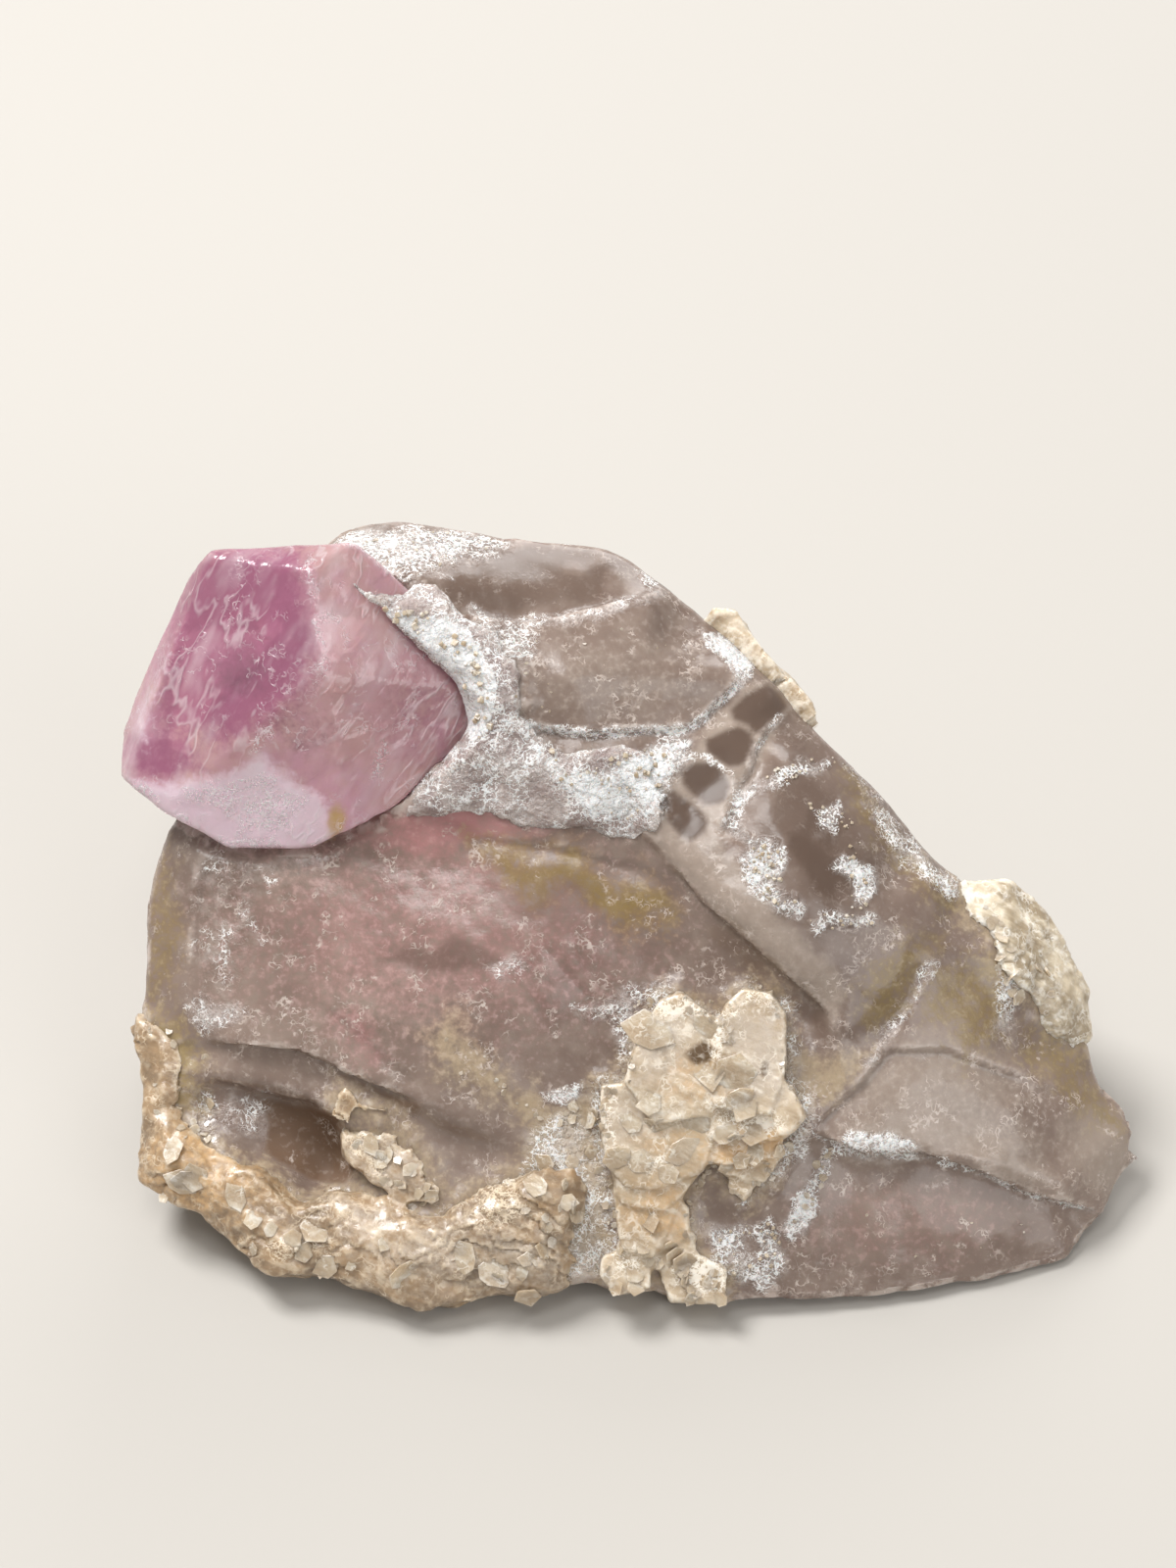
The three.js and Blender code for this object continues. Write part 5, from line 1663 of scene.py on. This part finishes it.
SPRINKLES: tuple[Sprinkle, ...] = (
    Sprinkle(
        "rosette's top plates",
        ((-0.2, -6.4), (2.6, -5.0), (6.6, -5.2), (7.0, -9.0), (6.2, -11.0), (0.4, -10.0)),
        7, 0.9, 1.7, tilt=5,
    ),
    Sprinkle(
        "rosette's lower left plates",
        ((-2.0, -10.0), (3.0, -10.6), (2.6, -13.6), (-1.4, -14.0)),
        8, 0.6, 1.2, tilt=10,
    ),
    Sprinkle(
        "rosette's steps", ((3.8, -11.2), (7.6, -11.0), (7.0, -13.8), (4.2, -13.6)), 7, 0.5, 1.0, tilt=10
    ),
    Sprinkle(
        "rosette's foot", ((-1.2, -14.2), (2.2, -14.4), (2.4, -19.0), (-1.6, -19.2)), 13, 0.35, 0.9, tilt=25
    ),
    Sprinkle(
        "rosette's left rim",
        (
            (3.9, -5.4), (0.8, -4.3), (-0.9, -5.6), (-0.9, -8.4), (-2.2, -9.2), (-2.0, -12.8),
            (-1.5, -16.6), (-2.2, -18.6),
        ),
        60, 0.1, 0.38, 0.8, 25,
    ),
    Sprinkle(
        "rosette's right rim",
        (
            (3.9, -5.4), (5.2, -3.8), (7.2, -4.8), (7.3, -8.6), (8.3, -10.5), (7.2, -12.4),
            (5.2, -14.6), (3.4, -13.0), (2.2, -14.6), (2.6, -17.2), (4.2, -18.4),
        ),
        60, 0.08, 0.32, 0.7, 25,
    ),
    Sprinkle("rosette's notch", ((3.2, -4.8), (4.4, -6.6)), 12, 0.12, 0.3, 0.8, 35),
    Sprinkle("white foot", ((1.4, -18.4), (4.3, -18.4), (4.2, -19.9), (1.6, -19.9)), 10, 0.3, 0.7, tilt=30),
    Sprinkle(
        "beside the rosette",
        ((-4.0, -9.4), (-2.2, -9.8), (-2.4, -16.5), (-4.6, -18.4), (-7.0, -18.0), (-5.0, -12.0)),
        18, 0.3, 0.9, tilt=25,
    ),
    Sprinkle("trail", ((9.4, -12.3), (8.9, -13.8), (7.9, -16.1)), 14, 0.12, 0.35, 0.6, 20),
    Sprinkle(
        "grains beside the rosette",
        ((3.2, -16.0), (7.2, -15.8), (6.6, -18.6), (4.4, -19.0)),
        26, 0.06, 0.18, tilt=45, flat=False,
    ),
    Sprinkle(
        "grains on the boss",
        ((4.9, 2.9), (6.0, 3.4), (7.2, 3.2), (7.1, 2.0), (8.0, 0.0), (6.2, 0.6)),
        44, 0.06, 0.2, tilt=45, flat=False,
    ),
    Sprinkle("grains across the boss", ((6.4, 6.6), (7.9, 7.3), (9.4, 7.6)), 16, 0.06, 0.15, 0.8, 45, False),
    Sprinkle(
        "grains right of the boss",
        ((9.0, 5.4), (10.3, 4.6), (11.2, 1.8), (11.0, 0.6)),
        28, 0.06, 0.18, 1.1, 45, False,
    ),
    Sprinkle("grains under the boss", ((8.9, -0.6), (10.0, -0.4), (11.4, -0.5)), 12, 0.06, 0.15, 0.8, 45, False),
    Sprinkle(
        "grains on the white band",
        ((-5.1, 8.2), (-1.2, 7.9), (2.1, 8.8), (1.2, 6.4), (-0.5, 4.6), (-3.9, 5.8)),
        50, 0.06, 0.22, tilt=45, flat=False,
    ),
    Sprinkle(
        "grains on the wall",
        ((-13.4, 15.3), (-10.2, 14.4), (-8.6, 12.4), (-8.2, 9.4)),
        50, 0.08, 0.28, 1.2, 45, False,
    ),
    Sprinkle(
        "flecks on the upper face",
        ((-7.0, 13.6), (0.5, 16.0), (4.0, 11.8), (1.5, 9.8), (-6.8, 10.2)),
        14, 0.05, 0.14, tilt=15,
    ),
    Sprinkle(
        "frost along the top",
        ((-16.4, 18.2), (-12.7, 19.6), (-7.0, 19.0), (-9.0, 17.8), (-14.4, 16.6)),
        30, 0.06, 0.2, tilt=30,
    ),
    Sprinkle(
        "left corner", ((-25.2, -6.0), (-22.6, -6.0), (-21.4, -11.5), (-25.0, -12.0)), 16, 0.2, 0.5, tilt=25
    ),
    Sprinkle(
        "ledge plates",
        ((-24.0, -13.4), (-21.5, -15.6), (-17.0, -17.4), (-11.5, -18.2), (-4.5, -18.4)),
        26, 0.4, 1.2, 2.6, 14,
    ),
    Sprinkle("blades in the hollow", ((-14.5, -11.4), (-11.4, -14.6)), 16, 0.25, 0.7, 1.6, 30),
    Sprinkle(
        "middle haze", ((-10.6, -5.6), (-6.2, -8.6), (-4.2, -12.0), (-8.6, -9.6)), 14, 0.08, 0.3, tilt=20
    ),
    Sprinkle(
        "right edge mica",
        ((17.2, 0.4), (19.6, -0.8), (21.8, -5.0), (20.0, -6.0), (18.0, -3.2)),
        16, 0.2, 0.6, tilt=20,
    ),
    Sprinkle("lower face flecks", ((9.0, -12.6), (16.0, -13.6), (21.5, -16.4), (12.0, -19.0)), 7, 0.05, 0.14),
)


@dataclass
class Flakes:
    """The mica flakes and white grains scattered on the stone, as one piece."""

    seed: int = 12
    thickest: float = 0.6
    sprinkles: tuple[Sprinkle, ...] = SPRINKLES

    def flake(self, sides: int, depth: float, rng: np.random.Generator) -> bpy.types.Mesh:
        """Models one flake of radius 1, with uneven corners and a worn edge.

        Args:
            sides: how many corners.
            depth: how thick it is.
            rng: the source of chance.

        Returns:
            Its mesh.
        """
        bpy.ops.object.select_all(action="DESELECT")
        bpy.ops.mesh.primitive_cylinder_add(vertices=sides, radius=1, depth=depth)
        s = Sculpt(bpy.context.object)
        reach = rng.uniform(0.55, 1.1, sides)
        for vertex in s.mesh.vertices:
            turn = math.atan2(vertex.co.y, vertex.co.x) % math.tau
            r = reach[int(round(turn / math.tau * sides)) % sides] * (0.82 if vertex.co.z < 0 else 1)
            vertex.co.x, vertex.co.y = r * math.cos(turn + 0.2 * r), 0.8 * r * math.sin(turn + 0.2 * r)
            vertex.co.z += rng.uniform(-0.12, 0.12) * depth
        s.modify("BEVEL", width=0.12 * min(depth, 0.6), segments=1, limit_method="ANGLE")
        mesh = s.mesh.copy()
        bpy.data.objects.remove(s.piece)
        return mesh

    def build(self, ground: list[BVHTree]) -> Sculpt:
        """Scatters the flakes.

        Args:
            ground: the trees of what they lie on.

        Returns:
            All flakes as one piece.
        """
        rng = np.random.default_rng(self.seed)
        plates = [self.flake(sides, 0.28, rng) for sides in (5, 6, 6, 7)]
        chunks = [self.flake(sides, 1.1, rng) for sides in (4, 5, 5)]
        pieces = []
        for sprinkle in self.sprinkles:
            for across, up in sprinkle.places(rng):
                start, end = (Vector(p) for p in FACE.place([[across, up, 25], [across, up, -12]]))
                hits = [t.ray_cast(start, (end - start).normalized(), (end - start).length) for t in ground]
                hits = [h for h in hits if h[0] is not None]
                if not hits:
                    continue
                at, normal = min(hits, key=lambda h: h[3])[:2]
                size = MM * sprinkle.smallest * (sprinkle.largest / sprinkle.smallest) ** rng.uniform(0, 1)
                if at.z < 0.8 * size:
                    continue
                lean = Vector(rng.normal(0, math.tan(math.radians(sprinkle.tilt)) * 0.6, 3))
                upright = (normal + lean).normalized().to_track_quat("Z", "Y").to_matrix().to_4x4()
                spin = Matrix.Rotation(rng.uniform(0, math.tau), 4, "Z")
                kinds = plates if sprinkle.flat else chunks
                mesh = kinds[rng.integers(len(kinds))].copy()
                height = min(size, self.thickest * MM) if sprinkle.flat else size
                scale = Matrix.Diagonal((size, size, height, 1))
                mesh.transform(Matrix.Translation(at) @ upright @ spin @ scale)
                piece = bpy.data.objects.new("flake", mesh)
                bpy.context.scene.collection.objects.link(piece)
                pieces.append(piece)
        bpy.ops.object.select_all(action="DESELECT")
        for piece in pieces:
            piece.select_set(True)
        bpy.context.view_layer.objects.active = pieces[0]
        bpy.ops.object.join()
        s = Sculpt(pieces[0])
        s.piece.name = s.mesh.name = "mica_flakes"
        s.move(s.points())
        s.keep("ridge", np.zeros(len(s.mesh.vertices)))
        s.shade(25)
        return s


@dataclass
class Studio:
    """A pale floor, soft lights and the camera."""

    image_height: float = 80.0

    def build(self, effects: Effects) -> None:
        """Sets up the room."""
        bpy.ops.object.select_all(action="DESELECT")
        bpy.ops.mesh.primitive_plane_add(size=4)
        floor = bpy.context.object
        floor.name = "floor"
        s = Surface("pale floor", effects)
        s.plain(Base_Color=rgb(172, 168, 162), Roughness=0.75)
        floor.data.materials.append(s.material)
        self.light("key", (-0.20, 0.12, 0.42), 0.18, 2.7)
        self.light("back", (0.12, 0.42, 0.24), 0.28, 1.1)
        self.light("fill", (0.30, -0.32, 0.30), 0.36, 0.8)
        self.light("sheen", (-0.05, -0.10, 0.45), 0.16, 0.5)
        world = bpy.data.worlds.new("room")
        world.use_nodes = True
        background = world.node_tree.nodes["Background"]
        background.inputs["Color"].default_value = (1.0, 0.975, 0.94, 1)
        background.inputs["Strength"].default_value = 0.45
        bpy.context.scene.world = world
        self.camera()
        bpy.context.scene.view_settings.view_transform = "Standard"

    def light(self, name: str, at: tuple[float, float, float], size: float, power: float) -> None:
        """Adds a soft square light that looks at the stone.

        Args:
            name: the light's name.
            at: its place in metres.
            size: its side in metres.
            power: its power in watts.
        """
        bpy.ops.object.light_add(type="AREA", location=at)
        lamp = bpy.context.object
        lamp.name = name
        lamp.data.size, lamp.data.energy = size, power
        towards = Vector((0, 0, 0.012)) - Vector(at)
        lamp.rotation_euler = towards.to_track_quat("-Z", "Y").to_euler()

    def camera(self) -> None:
        """Adds the camera, square to the broad face."""
        bpy.ops.object.camera_add()
        camera = bpy.context.object
        across, up, out = (Vector(row) for row in FACE.axes())
        middle = Vector(FACE.centre) + across * FACE.axis_across + up * FACE.axis_up
        camera.matrix_world = (
            Matrix.Translation((middle + out * FACE.view_distance) * MM)
            @ Matrix((across, up, out)).transposed().to_4x4()
        )
        camera.data.sensor_width = 36
        camera.data.lens = camera.data.sensor_width * FACE.view_distance / self.image_height
        camera.data.clip_start = 0.01
        bpy.context.scene.camera = camera


def main() -> None:
    """Builds the specimen and the studio."""
    logging.basicConfig(level=logging.INFO)
    effects = Effects()
    crystal = TourmalineCrystal().build()
    quartz = QuartzMatrix().build(crystal.tree())
    settle(crystal, PinkTourmaline().dress(effects), "tourmaline_crystal")
    settle(quartz, SmokyQuartz().dress(effects), "quartz_matrix")
    albite = SmokyQuartz("white albite", 0.42, smoke=rgb(168, 151, 146), deep=rgb(146, 128, 124))
    tan = FlakyCrust("tan mica", rgb(158, 132, 102), rgb(128, 108, 86), rgb(218, 202, 178))
    cream = FlakyCrust("cream mica", rgb(192, 175, 151), rgb(164, 144, 118), rgb(238, 230, 216), gloss=0.34)
    pale = FlakyCrust("pale mica", rgb(206, 192, 168), rgb(150, 134, 110), rgb(248, 244, 236))
    flaky = FlakyCrust("mica flakes", rgb(188, 171, 148), rgb(162, 142, 118), rgb(232, 224, 210), gloss=0.3)
    rim_areas = {Mask.FROST: WHITE_AREAS, Mask.DARK: WINDOWS}
    ledge_areas = {
        Mask.HAZE: (
            Patch("grey sheets", ((-17.5, -13.6), (-11.0, -15.4), (-4.0, -16.4), (-4.0, -20.0), (-14.0, -19.0)), 0.5, 1.4),
            Oval("grey blades", -13.0, -12.6, 2.4, 2.0, 0.5),
        ),
        Mask.STAIN: (Oval("tan lobe", -22.4, -13.4, 3.0, 2.6, 0.5),),
        Mask.FROST: (
            Patch("bright blade", ((-15.2, -11.0), (-14.2, -12.6), (-12.6, -14.2)), 0.62, 0.5, 0.5, 0.9),
            Patch("bright sheets", ((-17.2, -13.9), (-15.4, -15.6), (-13.2, -16.4)), 0.5, 0.4, 0.5, 0.7),
            Oval("pale lump", -7.4, -14.8, 1.8, 1.4, 0.5),
            Oval("frosted left foot", -17.6, -17.6, 2.2, 1.0, 0.4),
        ),
    }
    rosette_areas = {
        Mask.DARK: (
            Patch("dark grains", ((2.2, -7.3), (3.1, -6.6), (3.7, -7.0), (3.4, -7.6), (2.7, -7.9)), 1.0, 0.2, 0.3),
            Oval("dark fleck", 6.1, -8.1, 0.25, 0.3, 0.8),
            Patch("dark flecks", ((0.4, -6.6), (1.4, -7.2), (1.2, -8.4)), 0.5, 0.2, 0.9, 0.3),
        ),
        Mask.HAZE: (
            Patch("grey right plate", ((4.4, -5.0), (7.2, -5.0), (7.4, -9.4), (4.4, -9.8)), 0.85, 0.9),
            Patch("grey left plate", ((-0.6, -5.8), (2.6, -5.0), (2.6, -8.6), (-0.6, -9.0)), 0.7, 0.9),
            Oval("grey low plate", -0.8, -10.8, 1.4, 1.6, 0.6),
        ),
        Mask.STAIN: (
            Oval("amber heart", 2.9, -8.6, 1.8, 1.2, 0.4),
            Oval("amber step", 5.4, -12.2, 2.2, 0.9, 0.75, 10),
            Oval("amber middle", 1.8, -11.8, 2.2, 1.0, 0.4),
            Oval("amber foot", 1.0, -15.2, 1.8, 1.6, 0.5),
        ),
        Mask.FROST: (
            Patch("bright edge of the left plate", ((0.8, -4.8), (1.9, -5.2), (2.2, -4.6), (3.6, -5.8)), 0.9, 0.3, 0.3, 0.7),
            Patch("bright groove", ((3.9, -5.4), (3.8, -7.4)), 0.75, 0.35, 0.3, 0.7),
            Patch("bright top of the right plate", ((4.6, -5.2), (5.4, -4.2), (6.6, -4.4)), 0.6, 0.4, 0.4, 0.7),
            Patch("lower border of the top plates", ((0.2, -9.6), (2.2, -10.6), (4.0, -9.9), (6.8, -10.2)), 0.42, 0.5, 0.5, 0.9),
            Patch("bright low plate", ((-1.8, -9.4), (-1.6, -12.4), (0.4, -13.0), (1.4, -12.6)), 0.6, 0.4, 0.5, 1.0),
            Oval("bright step", 5.2, -11.0, 1.8, 0.8, 0.7, 8),
            Oval("white foot", 3.2, -18.4, 1.8, 1.2, 0.75),
            Oval("frosted left foot", -0.8, -18.0, 1.4, 1.2, 0.5),
        ),
    }
    stone = quartz.tree()
    ground = [stone]
    for crust, finish in (
        (
            Crust("albite_rim", "albite_rim_crust", "albite", lumps=0.1, layer_depth=0.0, areas=rim_areas),
            albite,
        ),
        (Crust("mica_ledge", "mica_ledge_crust", "tan_mica", areas=ledge_areas), tan),
        (
            Crust(
                "mica_rosette", "mica_rosette_plates", "cream_mica", 0.13, 0.08, 2.6, 0.06, 0.4, 0.12,
                (0.05, 0.05, 1.0), rosette_areas,
            ),
            cream,
        ),
        (Crust("edge_mica", "edge_mica_patch", "pale_mica"), pale),
        (Crust("mica_sliver", "mica_sliver_plate", "cream_mica"), cream),
    ):
        piece = crust.build(stone)
        ground.append(piece.tree())
        settle(piece, finish.dress(effects), crust.node)
    settle(Flakes().build(ground), flaky.dress(effects))
    Studio().build(effects)


if __name__ == "__main__":
    main()
